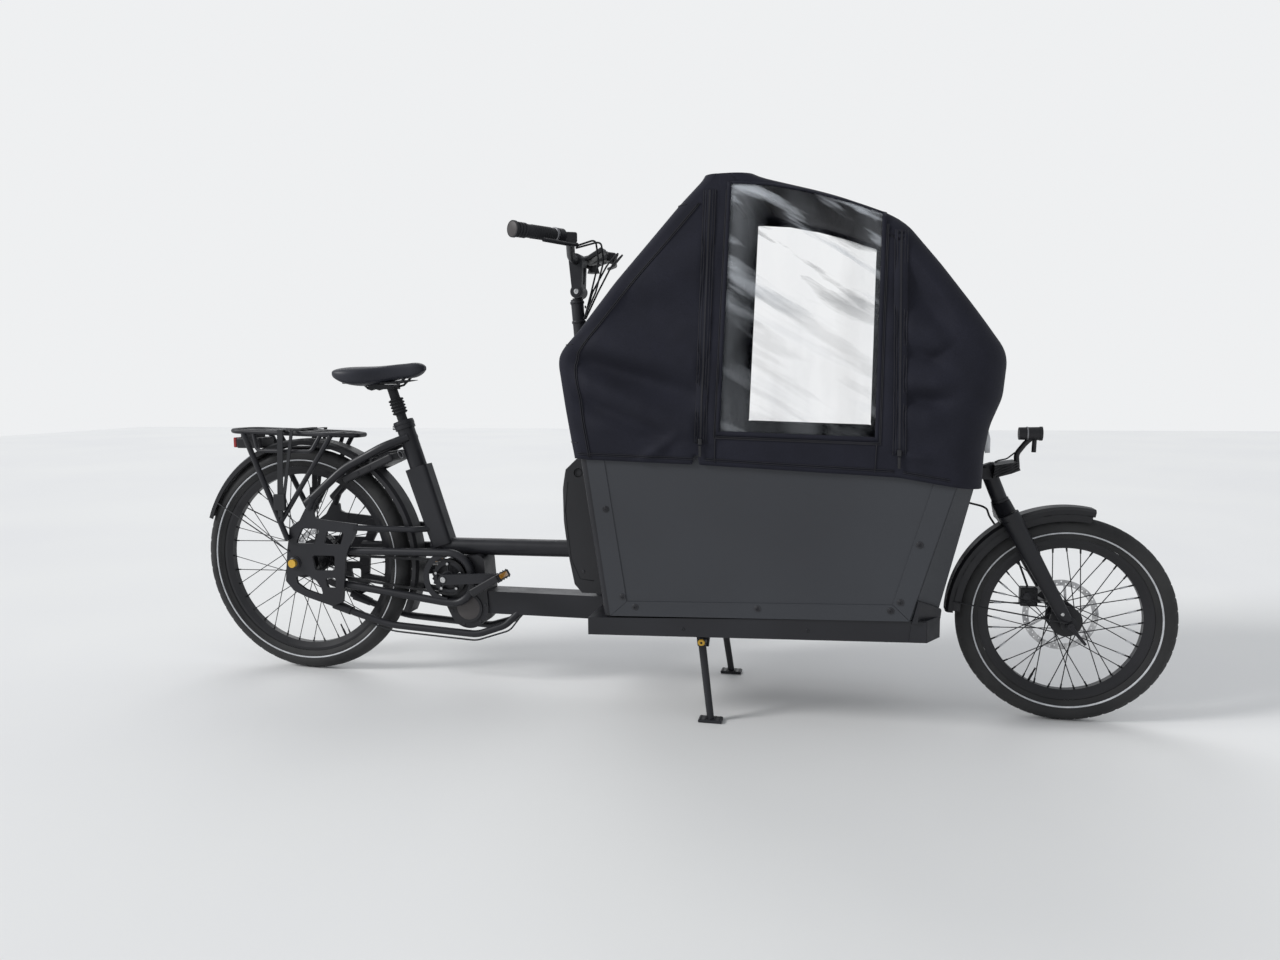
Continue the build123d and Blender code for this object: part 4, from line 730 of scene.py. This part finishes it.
def side_trim(side, piping, tape, coil, pulls):
    """Seams, zips, window binding and hem seams of one side."""
    def seam(points, lift=SEAM_LIFT, radius=SEAM_R):
        piping.tube([wall_point(x, z, lift, side) for x, z in points], radius, 6)

    def band(shape, points, lift, width, thick):
        out = [skin_normal(x, z, side) for x, z in points]
        shape.ribbon([wall_point(x, z, lift, side) for x, z in points], out, width, thick)

    for shift in REAR_GAPS:
        seam(dense([(x + shift, z) for x, z in REAR_SEAM]))
    for top, low in ZIPS:
        path = dense([top, (low[0], low[1] + ZIP_SHORT)])
        band(tape, path, 0.0010, 0.030, 0.0012)
        band(coil, path, 0.0022, 0.0045, 0.0012)
        for shift in ZIP_GAPS:
            seam([(x + shift, z) for x, z in path], 0.0022, STITCH_R)
        x, z = path[-1]
        pulls.box(wall_point(x, z + 0.004, 0.006, side), (0.009, 0.005, 0.014), 0.0015)
        pulls.box(wall_point(x, z - 0.018, 0.006, side), (0.006, 0.002, 0.026), 0.0008)
    frame_line = [WINDOW_TOP[-1]] + WINDOW_LOW + [WINDOW_TOP[0]]
    band(tape, dense(grown(frame_line, 0.004)), 0.0008, 0.010, 0.0013)
    band(tape, dense(grown(WINDOW_TOP, 0.002)), 0.0006, 0.006, 0.0010)
    for grow in WINDOW_GAPS:
        line = grown(frame_line, grow)
        seam(dense([(line[0][0], 1.192)] + line[1:-1] + [(line[-1][0], 1.284)]))
    for line in FLAP_SEAMS:
        seam(dense(line))
    for low, high in HEM_RUNS:
        places = [low + (high - low) * k / HEM_STEPS for k in range(HEM_STEPS + 1)]
        for rise in HEM_GAPS:
            seam([(x, hem_at(x) + rise) for x in places], radius=STITCH_R)


def canopy_trim():
    """The trim of both sides, the seams across the back and the front, and the front's tongues."""
    piping, tape, coil, pulls, tongues = Shape(), Shape(), Shape(), Shape(), Shape()
    for side in SIDES:
        side_trim(side, piping, tape, coil, pulls)
    for share in BACK_SEAMS:
        run = canopy_ring(share)[0][:REAR_COLUMNS + CORNER_COLUMNS]
        across = mirrored(run[1:]) + run
        piping.tube([place(p) + Vector((-0.0008, 0, 0.0004)) for p in across], SEAM_R, 6)
    for share in FRONT_SEAMS:
        ring, reach = canopy_ring(share)
        run = ring[reach - REAR_COLUMNS + 1:reach]
        across = run + mirrored(run[:-1])
        piping.tube([place(p) + Vector((0.0008, 0, 0.0004)) for p in across], SEAM_R, 6)
    for side in SIDES:
        points = [at(x, side * 0.060, z) for x, z in TONGUE]
        tongues.ribbon(points, Vector((0, side, 0)), [0.012, 0.016, 0.017, 0.012], 0.0018)
    piping.piece("canopy_stitching", "thread")
    tape.piece("canopy_tapes", "canvas")
    coil.piece("canopy_zip_coils", "thread", smooth=False)
    pulls.piece("canopy_zip_pulls", "plastic_black")
    tongues.piece("canopy_tongues", "reflective")


def drape(x, z, side):
    """Rise of the film: folds that fan out from its upper rear corner, and small creases."""
    away = Vector((x - WINDOW_TOP[0][0], WINDOW_TOP[0][1] - z))
    turn = math.atan2(away.y, away.x)
    reach = min(1.0, away.length / 0.16)
    fan = 0.0085 * sin(turn * 24 + side) * math.exp(-((turn - 0.52) / 0.33) ** 2) * reach
    slack = 0.006 * drift(x * 5 + z * 3, side * 4.0, z * 5 - x * 4)
    crease = 0.0035 * drift(x * 16 + z * 12, side * 9.0, z * 4)
    crumple = 0.0050 * drift(x * 34, side * 2.0, z * 34) * clamped((x + z - 2.64) / 0.14)
    return fan + slack + crease + crumple


FILM_COLUMNS, FILM_ROWS, FILM_T = 40, 60, 0.0011
# How far the film lies behind the cloth's face, and its growth past the window's edge
FILM_BACK, FILM_GROWTH = 0.0020, 0.012


def film_point(u, w, side, back):
    """Point of the film at shares of its width and height; it reaches just past the cloth's edge."""
    top_x = WINDOW_TOP[0][0] + (WINDOW_TOP[-1][0] - WINDOW_TOP[0][0]) * u
    high = Vector((top_x, table(WINDOW_TOP, top_x)))
    p = Vector(WINDOW_LOW[1]).lerp(Vector(WINDOW_LOW[0]), u).lerp(high, w)
    p.x += (p.x - WINDOW_CENTRE[0]) * FILM_GROWTH
    p.y += 0.004 * (w - 0.75 if w < 0.75 else 0.3 * (w - 0.75))
    calm = min(1.0, min(u, 1 - u, w, 1 - w) / 0.10)
    half = skin_y(p.x, p.y) - FILM_BACK + drape(p.x, p.y, side) * calm
    return at(p.x, side * (half - back), p.y)


def window_films():
    """Clear film in both windows, closed round its rim."""
    films = Shape()
    columns, rows = FILM_COLUMNS, FILM_ROWS
    wide = columns + 1
    front = grid_faces(rows + 1, wide)
    sheet = (rows + 1) * wide
    rim = list(range(wide)) + [j * wide + columns for j in range(1, rows + 1)]
    rim += [rows * wide + i for i in range(columns - 1, -1, -1)]
    rim += [j * wide for j in range(rows - 1, 0, -1)]
    faces = front + [tuple(k + sheet for k in reversed(f)) for f in front]
    faces += [(b, a, a + sheet, b + sheet) for a, b in zip(rim, rim[1:] + rim[:1])]
    for side in SIDES:
        verts = [film_point(i / columns, j / rows, side, back)
                 for back in (0.0, FILM_T) for j in range(rows + 1) for i in range(wide)]
        films.add(verts, [f[::-side] for f in faces])
    films.piece("window_films", "clear_film", replaces=("windows",))


cloth, cloth_area = canopy_cloth()
solid = cloth.modifiers.new("thickness", "SOLIDIFY")
solid.thickness = CLOTH_T
solid.offset = -1
canopy_trim()
window_films()


# Stations along the saddle: place, half width, top and underside
SADDLE = metres([
    (128, 24, 886, 879), (134, 54, 894, 874), (146, 73, 899, 866), (170, 84, 903, 853),
    (200, 86, 904.5, 846.5), (230, 79, 905, 847), (260, 60, 905, 851.5), (290, 41, 907, 860),
    (320, 31, 910.5, 866), (350, 25.5, 913, 868.5), (368, 24, 914, 870), (382, 21, 912.5, 876.5),
    (392, 16, 909, 883.5), (400, 6, 902.5, 891),
])
SADDLE_SIDES = 20
# Depth and half width of the groove along the saddle's top, and the places it runs between
GROOVE, GROOVE_WIDTH, GROOVE_RUN = 0.004, 0.010, (0.14, 0.36)


def saddle():
    """Padded saddle cover: a crowned closed form with a groove, smoothed by subdivision."""
    shape = Shape()
    for x, half, top, under in SADDLE:
        mid = top - (top - under) * 0.45
        groove = GROOVE if GROOVE_RUN[0] < x < GROOVE_RUN[1] else 0.0
        for k in range(SADDLE_SIDES):
            a = 2 * pi * k / SADDLE_SIDES
            c, s = cos(a), sin(a)
            y = half * math.copysign(abs(c) ** 0.75, c)
            if s >= 0:
                z = mid + (top - mid) * s ** 0.7 - groove * math.exp(-(y / GROOVE_WIDTH) ** 2) * s
            else:
                z = mid - (mid - under) * sqrt(-s)
            shape.verts.append(at(x, y, z))
    last = (len(SADDLE) - 1) * SADDLE_SIDES
    shape.faces = grid_faces(len(SADDLE), SADDLE_SIDES, False, True)
    shape.faces += [tuple(range(SADDLE_SIDES)), tuple(last + k for k in reversed(range(SADDLE_SIDES)))]
    piece = shape.piece("saddle_cover", "saddle_skin", replaces=("saddle",))
    sub = piece.modifiers.new("subdivide", "SUBSURF")
    sub.levels = sub.render_levels = 2


saddle()


# Tyres
TYRE_HALF, TYRE_DEPTH = 0.0272, 0.054
# Share of the half width and of the depth, from the bead to the widest place
SIDEWALL = [(0.60, 1.0), (0.66, 0.955), (0.70, 0.90), (0.80, 0.80), (0.91, 0.69), (0.98, 0.58)]
TYRE_STEPS, CROWN_STEPS, BLOCK_STEPS = 432, 22, 9
GROOVE_DEPTH, GROOVE_AT, GROOVE_HALF = 0.0014, 0.0095, 0.0014
LINE_HALF, RIB_HALF = 0.0021, 0.0009


def tyre_profile(radius):
    """Section from the right bead over the crown to the left bead, as (y, r)."""
    right = [(-TYRE_HALF * half, radius - TYRE_DEPTH * deep) for half, deep in SIDEWALL]
    crown = []
    for k in range(CROWN_STEPS + 1):
        t = pi * k / CROWN_STEPS
        crown.append((-TYRE_HALF * cos(t), radius - TYRE_DEPTH / 2 + TYRE_DEPTH / 2 * sin(t)))
    return right + crown + [(-y, r) for y, r in reversed(right)]


def tread_drop(y, r, radius, block):
    """Depth of the tread's grooves at a place of the section, a share of a block round the tyre."""
    side = abs(y) / TYRE_HALF
    if r <= radius - TYRE_DEPTH / 2 or side >= 0.86:
        return 0.0
    phase = (block + (0.5 if y > 0 else 0.0) + side * 0.35) % 1.0
    return GROOVE_DEPTH if phase < 0.2 or abs(abs(y) - GROOVE_AT) < GROOVE_HALF else 0.0


def side_at(profile, r):
    """Half width of the tyre at a radius, on its side."""
    half = [(abs(y), q) for y, q in profile[:len(profile) // 2 + 1]]
    for (y0, r0), (y1, r1) in zip(half, half[1:]):
        if r0 <= r <= r1:
            return y0 + (y1 - y0) * (r - r0) / (r1 - r0)
    return half[-1][0]


def tyre(end, hub, line_r):
    """Tyre with raised tread blocks, a reflecting line and moulded side ribs."""
    name, body, radius = end + "_tyre", end + "_wheel_body", hub.z
    profile = tyre_profile(radius)
    rings = []
    for i in range(TYRE_STEPS):
        a = 2 * pi * i / TYRE_STEPS
        block = (i % BLOCK_STEPS) / BLOCK_STEPS
        for y, r in profile:
            r -= tread_drop(y, r, radius, block)
            rings.append(hub + Vector((cos(a) * r, y, sin(a) * r)))
    rubber, band, ribs = Shape(), Shape(), Shape()
    rubber.add(rings, grid_faces(TYRE_STEPS, len(profile), True, False))
    bands = [(line_r, LINE_HALF, 0.0005, band), (radius - 0.0435, 0.0012, 0.0006, ribs),
             (line_r + 0.0052, RIB_HALF, 0.0004, ribs), (line_r - 0.0052, RIB_HALF, 0.0004, ribs)]
    for side in SIDES:
        for rib_r, half, lift, target in bands:
            points = []
            for d in (-half, -half * 0.5, half * 0.5, half):
                out = side_at(profile, rib_r + d) + (lift if abs(d) < half else -0.0002)
                points.append((side * out, rib_r + d))
            target.lathe(points[::-side], hub, (0, 1, 0), 144)
    rubber.piece(name + "_rubber", "tyre", body, replaces=(name,))
    band.piece(name + "_rubber_line", "reflective", body)
    ribs.piece(name + "_rubber_ribs", "tyre", body)


tyre("rear", REAR_HUB, 0.298)
tyre("front", FRONT_HUB, 0.2195)


# Small parts that the photo shows: places in millimetres from the rear axle, sizes in metres
REAR_AXLE_Z, FRONT_X, FRONT_Z = 334, 2107, 258
BRACKET_X, BRACKET_Z, CRANK, CRANK_RISE, PEDAL_TURN = 476, 306, 165, radians(4), radians(30)
PEDAL_IN, PEDAL_HALF = 0.0915, 0.053
MOTOR_X, MOTOR_Z = 530, 218
COLUMN_X, COLUMN_Z, COLUMN_TILT = 859, 1001, radians(4.6)
SEAT_FOOT, SEAT_TILT = Vector((369, 0, 615)), radians(18.5)
BOX_LOW, BOX_FLOOR = BOX_HALF * 1000, BOX_FLOOR_Z * 1000
BOX_REAR, BOX_SLOPE = 943, 0.0411
WALL_LEAN = math.atan(BOX_FLARE)
SCREW = [(0.0, 1.0), (0.35, 1.0), (0.62, 0.86), (0.75, 0.55), (0.72, 0.42), (0.3, 0.38), (0.3, 0.0)]
PANEL_SCREWS = [(1003.1, 544.8), (1035.9, 321.7), (1067.5, 296.5), (1370.8, 307.4), (1680.9, 317.8),
                (1702.3, 339.5), (1740.9, 479.0)]
# Angles of the front mudguard's two ends round its wheel, in degrees
GUARD_FROM, GUARD_TO = 79, 177
SPOKES = 18


def mm(x, y, z):
    return at(x / 1000, y / 1000, z / 1000)


def screw(shape, centre, out, radius, height, sides=12):
    """Round-headed screw with a socket, its head standing out along a direction."""
    shape.lathe([(height * h, radius * r) for h, r in SCREW], centre, out, sides)


def ring_on(shape, centre, axis, radius, width, thick, segments=28):
    """Raised band round a tube."""
    half = width / 2
    outline = [(-half, radius), (-half, radius + thick * 0.7), (-half * 0.7, radius + thick)]
    outline += [(-along, r) for along, r in reversed(outline)]
    shape.lathe(outline, centre, axis, segments)


def on_panel(x, z, out, side):
    """Point on the load box's side wall, out millimetres off its face."""
    y = BOX_LOW + (z - BOX_FLOOR) * BOX_FLARE
    return mm(x, side * (y + out * cos(WALL_LEAN)), z - out * sin(WALL_LEAN))


def slanted(angle):
    """Directions along and up of a part turned by an angle about the crosswise axis."""
    return Vector((cos(angle), 0, sin(angle))), Vector((-sin(angle), 0, cos(angle)))


def box_screws():
    """Screws and rings of the side panels, the tray and the rear wall."""
    heads, washers = Shape(), Shape()
    for side in SIDES:
        out = Vector((0, side * cos(WALL_LEAN), -sin(WALL_LEAN)))
        for x, z in PANEL_SCREWS:
            screw(heads, on_panel(x, z, 2.2, side), out, 0.0052, 0.003)
            ring_on(washers, on_panel(x, z, 2.0, side), out, 0.0052, 0.0016, 0.0030, 24)
        for x in (1187, 1490):
            z = BOX_FLOOR + (x - BOX_REAR) * BOX_SLOPE - 27
            screw(heads, mm(x, side * BOX_LOW, z), (0, side, 0), 0.0045, 0.0025)
        for y, z in ((165, 640), (198, 330), (198, 640)):
            screw(heads, mm(983.6 - 46 * (z - 270) / 430, side * y, z), (-1, 0, -0.13), 0.005, 0.003)
    heads.piece("box_screws", "frame_black", smooth=False)
    washers.piece("box_washers", "bolt")


def crank_details():
    """Axle screws, their collars and the chainring's bolts."""
    bright, dark = Shape(), Shape()
    for side in SIDES:
        end = mm(BRACKET_X, side * 89.6, BRACKET_Z)
        ring_on(dark, end, (0, side, 0), 0.0088, 0.0024, 0.0018, 24)
        screw(bright, end, (0, side, 0), 0.0082, 0.0034, 16)
    for i in range(5):
        c = radians(72 * i + 20)
        spot = mm(BRACKET_X + 39 * cos(c), -55.5, BRACKET_Z + 39 * sin(c))
        screw(bright, spot, (0, -1, 0), 0.0040, 0.0018)
    bright.piece("crank_screws", "bright", "crank_body", smooth=False)
    dark.piece("crank_collars", "frame_black", "crank_body")


def pedal_details():
    """Reflectors in the pedals' long edges and grip pins on both faces."""
    along, up = slanted(PEDAL_TURN)
    reach_x, reach_z = CRANK * cos(CRANK_RISE), CRANK * sin(CRANK_RISE)
    for name, side in (("right", -1), ("left", 1)):
        hub = mm(BRACKET_X - side * reach_x, 0, BRACKET_Z - side * reach_z)
        amber, pins = Shape(), Shape()
        middle_y = Vector((0, side * (PEDAL_IN + PEDAL_HALF), 0))
        for end in (-1, 1):
            spot = hub + along * end * 0.0452 + middle_y
            amber.box(spot, (0.0022, 0.052, 0.0125), 0.0008, (along, (0, 1, 0), up))
        for end in (-1, 1):
            for face in (-1, 1):
                for k in range(5):
                    y = Vector((0, side * (PEDAL_IN + 0.014 + 0.0195 * k), 0))
                    foot = hub + along * end * 0.0405 + up * face * 0.0103 + y
                    pins.tube([foot, foot + up * face * 0.0022], 0.0016, 6)
        amber.piece(name + "_pedal_reflectors", "amber", name + "_pedal_body")
        pins.piece(name + "_pedal_pins", "bolt", name + "_pedal_body")


def motor_details():
    """Round face and screws of the motor's cover."""
    face, screws = Shape(), Shape()
    outline = [(-0.0014, 0.0352), (-0.0007, 0.0352), (0.0, 0.0340), (0.0, 0.0)]
    face.lathe(outline, mm(MOTOR_X, -43.2, MOTOR_Z), (0, -1, 0), 48)
    for i in range(6):
        c = radians(60 * i + 12)
        for side in SIDES:
            spot = mm(MOTOR_X + 52 * cos(c), side * 40.0, MOTOR_Z + 52 * sin(c))
            screw(screws, spot, (0, side, 0), 0.0040, 0.0022)
    for x, z in [(517, 359), (540, 344)]:
        screw(screws, mm(x, -43.4, z), (0, -1, 0), 0.0050, 0.003)
    face.piece("motor_face", "motor_face")
    screws.piece("motor_screws", "bolt", smooth=False)


def axle_details():
    """Washers and screws at the axles, and the hubs' rings."""
    washers, screws = Shape(), Shape()
    for side in SIDES:
        outline = [(0.0, 0.0120), (0.0, 0.0170), (-0.0034, 0.0174)][::side]
        washers.lathe(outline, mm(0, side * 79.3, REAR_AXLE_Z), (0, side, 0), 40)
        screw(screws, mm(FRONT_X, side * 76, FRONT_Z), (0, side, 0), 0.0052, 0.002)
    washers.piece("axle_washers", "bolt")
    screw(screws, mm(2089, -75, 286), (0, -1, 0), 0.0044, 0.0024)
    screws.piece("fork_screws", "bright", "fork_body", smooth=False)
    for name, x, z, places, radius, segments in [("rear", 0, REAR_AXLE_Z, (-24, -16, 16, 24), 0.0419, 48),
                                                 ("front", FRONT_X, FRONT_Z, (-20, 0, 20), 0.0299, 40)]:
        rings = Shape()
        for y in places:
            ring_on(rings, mm(x, y, z), (0, 1, 0), radius, 0.003, 0.0010, segments)
        rings.piece(name + "_hub_rings", "rim_black", name + "_wheel_body")


def spoke(hub, i, side, hub_r, hub_y, rim_r):
    """A spoke's end at the rim and its direction towards the hub's flange."""
    step = 2 * pi / SPOKES
    foot = i * step + (side + 1) * step / 4
    lean = 1 if i % 2 else -1
    head = foot + lean * 3.0 * step
    start = hub + Vector((hub_r * cos(head), side * (hub_y + lean * 0.9) / 1000, hub_r * sin(head)))
    end = hub + Vector((rim_r * cos(foot), side * 0.003, rim_r * sin(foot)))
    return end, (start - end).normalized(), foot


def wheel_details():
    """Valves, nipples and the light clips on the front wheel's spokes."""
    for name, hub, inner, flange_r, flange_y, turn in [("rear", REAR_HUB, 0.2557, 0.049, 32, -64),
                                                       ("front", FRONT_HUB, 0.1797, 0.035, 28, -115)]:
        body = name + "_wheel_body"
        valve, nipples = Shape(), Shape()
        out = Vector((cos(radians(turn)), 0, sin(radians(turn))))
        for start, end, radius in ((-0.002, 0.020, 0.0030), (0.020, 0.036, 0.0022)):
            valve.tube([hub + out * (inner - start), hub + out * (inner - end)], radius, 10)
        for side in SIDES:
            for i in range(SPOKES):
                end, along, foot = spoke(hub, i, side, flange_r, flange_y, inner + 0.003)
                nipples.tube([end, end + along * 0.014], [0.0024, 0.0021], 8)
        valve.piece(name + "_valve", "rubber", body)
        nipples.piece(name + "_nipples", "rim_black", body)
    clips = Shape()
    for side in SIDES:
        for i in range(SPOKES):
            end, along, foot = spoke(FRONT_HUB, i, side, 0.035, 28, 0.1827)
            if abs(sin(foot)) <= 0.62:
                clips.tube([end + along * 0.016, end + along * 0.034], 0.0024, 8)
    clips.piece("front_spoke_clips", "reflective", "front_wheel_body")


def bar_details():
    """Rings and ribs of the grips, stem screws, screen and collars."""
    ribs, rings, caps, screws, screen = Shape(), Shape(), Shape(), Shape(), Shape()
    for side in SIDES:
        start, end = Vector((892, side * 180, 1214)), Vector((803, side * 332, 1214))
        along = (end - start).normalized()

        def grip_rings(shape, places, radius, width, thick):
            for back in places:
                ring_on(shape, mm(*(end - along * back)), along, radius, width, thick)

        grip_rings(ribs, [52 + 7.0 * k for k in range(9)], 0.0159, 0.0034, 0.0009)
        grip_rings(ribs, [10 + 9.0 * k for k in range(3)], 0.0159, 0.006, 0.0022)
        grip_rings(rings, [126], 0.0162, 0.008, 0.0024)
        outline = [(-0.0006, 0.0178), (0.0004, 0.0178), (0.0010, 0.0165), (0.0010, 0.0)]
        caps.lathe(outline, mm(*(end + along * 5.8)), along, 32)
    ribs.piece("grip_ribs", "rubber", "handlebar_body")
    rings.piece("grip_rings", "aluminium", "handlebar_body")
    caps.piece("grip_caps", "motor_face", "handlebar_body")
    for side in SIDES:
        screw(screws, mm(COLUMN_X, side * 24, 1096), (0, side, 0), 0.0070, 0.003, 16)
        screw(screws, mm(COLUMN_X - 1, side * 22, 1178), (0, side, 0), 0.0040, 0.002)
    for x, z in [(876.5, 1056), (878.5, 1036)]:
        screw(screws, mm(x, -3, z), (0.97, -0.2, 0.08), 0.0042, 0.003)
    screws.piece("stem_screws", "bright", "handlebar_body", smooth=False)
    column_collars("stem_collars", "handlebar_body", (1016, 1068), 0.0169, 0.007, 0.0022, 32)
    along, up = slanted(PEDAL_TURN)
    centre = mm(COLUMN_X + 32, 54, 1198)
    screen.box(centre + up * 0.0072, (0.048, 0.036, 0.0012), 0.0004, (along, (0, 1, 0), up))
    screen.piece("display_screen", "screen", "handlebar_body")
    column_collars("column_collar", "frame", (948,), 0.0199, 0.016, 0.0020, 36)


def column_collars(name, body, heights, radius, width, thick, segments):
    """Bands round the leaning handlebar column."""
    collar = Shape()
    for z in heights:
        spot = mm(COLUMN_X - (z - COLUMN_Z) * math.tan(COLUMN_TILT), 0, z)
        ring_on(collar, spot, slanted(COLUMN_TILT)[1], radius, width, thick, segments)
    collar.piece(name, "frame_black", body)


def seat_details():
    """Bellows of the sprung post, the saddle's wires, and the clamp's collar and screw."""
    up = slanted(SEAT_TILT)[1]
    bellows, collar, screws, wires = Shape(), Shape(), Shape(), Shape()
    for k in range(5):
        ring_on(bellows, mm(*(SEAT_FOOT + up * (165 + 9.2 * k))), up, 0.0178, 0.0042, 0.0038)
    bends = [(345, 870), (333, 860), (321, 849.5), (303, 845.5), (261, 842.5), (241, 837.5), (230, 841),
             (220, 850), (208, 860)]
    for side in SIDES:
        wires.tube([mm(x, side * (22 - max(0, x - 303) * 0.12), z) for x, z in bends], 0.0033, 10)
    ring_on(collar, mm(*(SEAT_FOOT + up * 131)), up, 0.0289, 0.008, 0.0010, 40)
    screw(screws, mm(300, -9, 727), (0, -1, 0), 0.0042, 0.003)
    bellows.piece("post_bellows", "rubber")
    wires.piece("saddle_wires", "frame_black")
    collar.piece("seat_collar", "frame_black")
    screws.piece("seat_clamp_screw", "bright", smooth=False)


def guard_details():
    """Side lips of the front mudguard, and the caliper's caps and bolts."""
    lips, cap, bolts = Shape(), Shape(), Shape()
    lip = [(0.0, 0.268), (0.0012, 0.268), (0.0012, 0.250), (0.0, 0.249), (-0.0012, 0.250), (-0.0012, 0.268)]
    first, turn = radians(45 - GUARD_TO), radians(GUARD_TO - GUARD_FROM)
    for side in SIDES:
        lips.lathe(lip, mm(FRONT_X, side * 31.8, FRONT_Z), (0, 1, 0), 90, first, turn)
    dome = [(0.0, 0.0148), (0.0018, 0.0145), (0.0026, 0.0132), (0.0026, 0.0)]
    for side, face in ((-1, 26), (1, 56)):
        cap.lathe(dome[::side], mm(2029, face, 302), (0, side, 0), 32)
        for x in (2016, 2043):
            for z in (286, 318):
                screw(bolts, mm(x, face, z), (0, side, 0), 0.0030, 0.0020)
    lips.piece("front_mudguard_lips", "plastic_black", "fork_body")
    cap.piece("front_caliper_caps", "bolt", "fork_body")
    bolts.piece("front_caliper_bolts", "bolt", "fork_body", smooth=False)


# Head tube's cover from above: half width of its flank and of its front, and the places along
# the bike that its bevel runs between
COVER_FLANK, COVER_NOSE, COVER_BEVEL = 46.0, 26.0, (1966.0, 1992.0)


def cover_front(z):
    """Place of the cover's leaning front at a height."""
    return 1990 - (z - 630) * 0.41


def head_cover_ribs():
    """Slanting ribs of the head tube's cover, round its flanks and front."""
    ribs = Shape()
    narrowing = (COVER_FLANK - COVER_NOSE) / (COVER_BEVEL[1] - COVER_BEVEL[0])
    for k in range(8):
        path = []
        for step in range(34):
            x = 1926 + 2.0 * step
            z = 606 + 6.5 * k + 0.48 * (x - 1940)
            low, top = 611 + (x - 1924) * 0.288, 643 + (x - 1928) * 0.17
            if low + 1.5 < z < top - 1.0 and x < cover_front(z):
                path.append((x, COVER_FLANK - max(0.0, x - COVER_BEVEL[0]) * narrowing, z))
        if len(path) < 4:
            continue
        right, left = [[mm(x, side * y, z) for x, y, z in path] for side in SIDES]
        if path[-1][0] > cover_front(path[-1][2]) - 2:
            ribs.tube(right + left[::-1], 0.0019)
        else:
            ribs.tube(right, 0.0019)
            ribs.tube(left, 0.0019)
    ribs.piece("head_cover_ribs", "plastic_black")


def lamp_details():
    """Lens and band of the headlamp, and the ribs of the rear light's lens."""
    lens, band, rear = Shape(), Shape(), Shape()
    outline = [(-0.0030, 0.0150), (-0.0010, 0.0148), (0.0, 0.0120), (0.0, 0.0)]
    lens.lathe(outline, mm(2041.6, 0, 719), (1, 0, 0), 32)
    ring_on(band, mm(2006, 0, 719), (1, 0, 0), 0.0158, 0.004, 0.0014, 36)
    lens.piece("headlamp_lens", "lens")
    band.piece("headlamp_band", "aluminium")
    for k in range(4):
        rear.box(mm(-216.6, 0, 675.5 + 6.5 * k), (0.0014, 0.056, 0.0032), 0.0005)
    rear.piece("rear_lens_ribs", "red_lens")


def stand_details():
    """Springs, pivot screws and the feet's treads of the centre stand."""
    springs, screws, feet = Shape(), Shape(), Shape()
    turns, steps, coil_r = 12, 8, 6.2
    for side in SIDES:
        coil = []
        for k in range(turns * steps + 1):
            a = 2 * pi * k / steps
            x, y = 1262 - 0.34 * k + coil_r * cos(a), side * (120 + coil_r * sin(a))
            coil.append(mm(x, y, 205 + 0.10 * k))
        springs.tube(coil, 0.0012, 6)
        screw(screws, mm(1224, side * 185.2, 198), (0, side, 0), 0.0092, 0.0050, 16)
        for k in range(5):
            feet.box(mm(1226 + 12 * k, side * 200, 8.2), (0.005, 0.030, 0.0012), 0.0004)
    springs.piece("stand_springs", "bolt")
    screws.piece("stand_screws", "brass", "stand_body", smooth=False)
    feet.piece("stand_treads", "rubber", "stand_body")


def lock_details():
    """Screws and key barrel of the ring lock."""
    screws, key = Shape(), Shape()
    along, up = slanted(math.atan2(70, 159))
    centre = Vector((232, 0, 612))
    for reach in (10, -30):
        spot = centre + along * reach
        screw(screws, mm(spot.x, -54, spot.z), (0, -1, 0), 0.0050, 0.0024)
    ring_on(key, mm(*(centre + along * 88 + up * 2)), along, 0.0090, 0.004, 0.0030, 24)
    screws.piece("lock_screws", "bolt", smooth=False)
    key.piece("lock_barrel_ring", "aluminium")


def battery_details():
    """Seams, screws and locks on the battery housing's flanks."""
    seams, screws, locks = Shape(), Shape(), Shape()
    for side in SIDES:
        y = side * 150.3
        line = ((866, 596), (858, 520), (872, 392), (896, 340), (934, 336))
        seams.tube([mm(x, y, z) for x, z in line], 0.0009, 6)
        screw(screws, mm(905, y, 360), (0, side, 0), 0.0042, 0.0022)
        ring_on(locks, mm(895, side * 146.2, 620), (0, side, 0), 0.0075, 0.003, 0.0030)
    seams.piece("battery_seams", "rubber")
    screws.piece("battery_screws", "bolt", smooth=False)
    locks.piece("battery_lock", "rubber")


for add_details in (box_screws, crank_details, pedal_details, motor_details, axle_details, wheel_details,
                    bar_details, seat_details, guard_details, head_cover_ribs, lamp_details, stand_details,
                    lock_details, battery_details):
    add_details()

bpy.context.scene.view_settings.view_transform = "Standard"
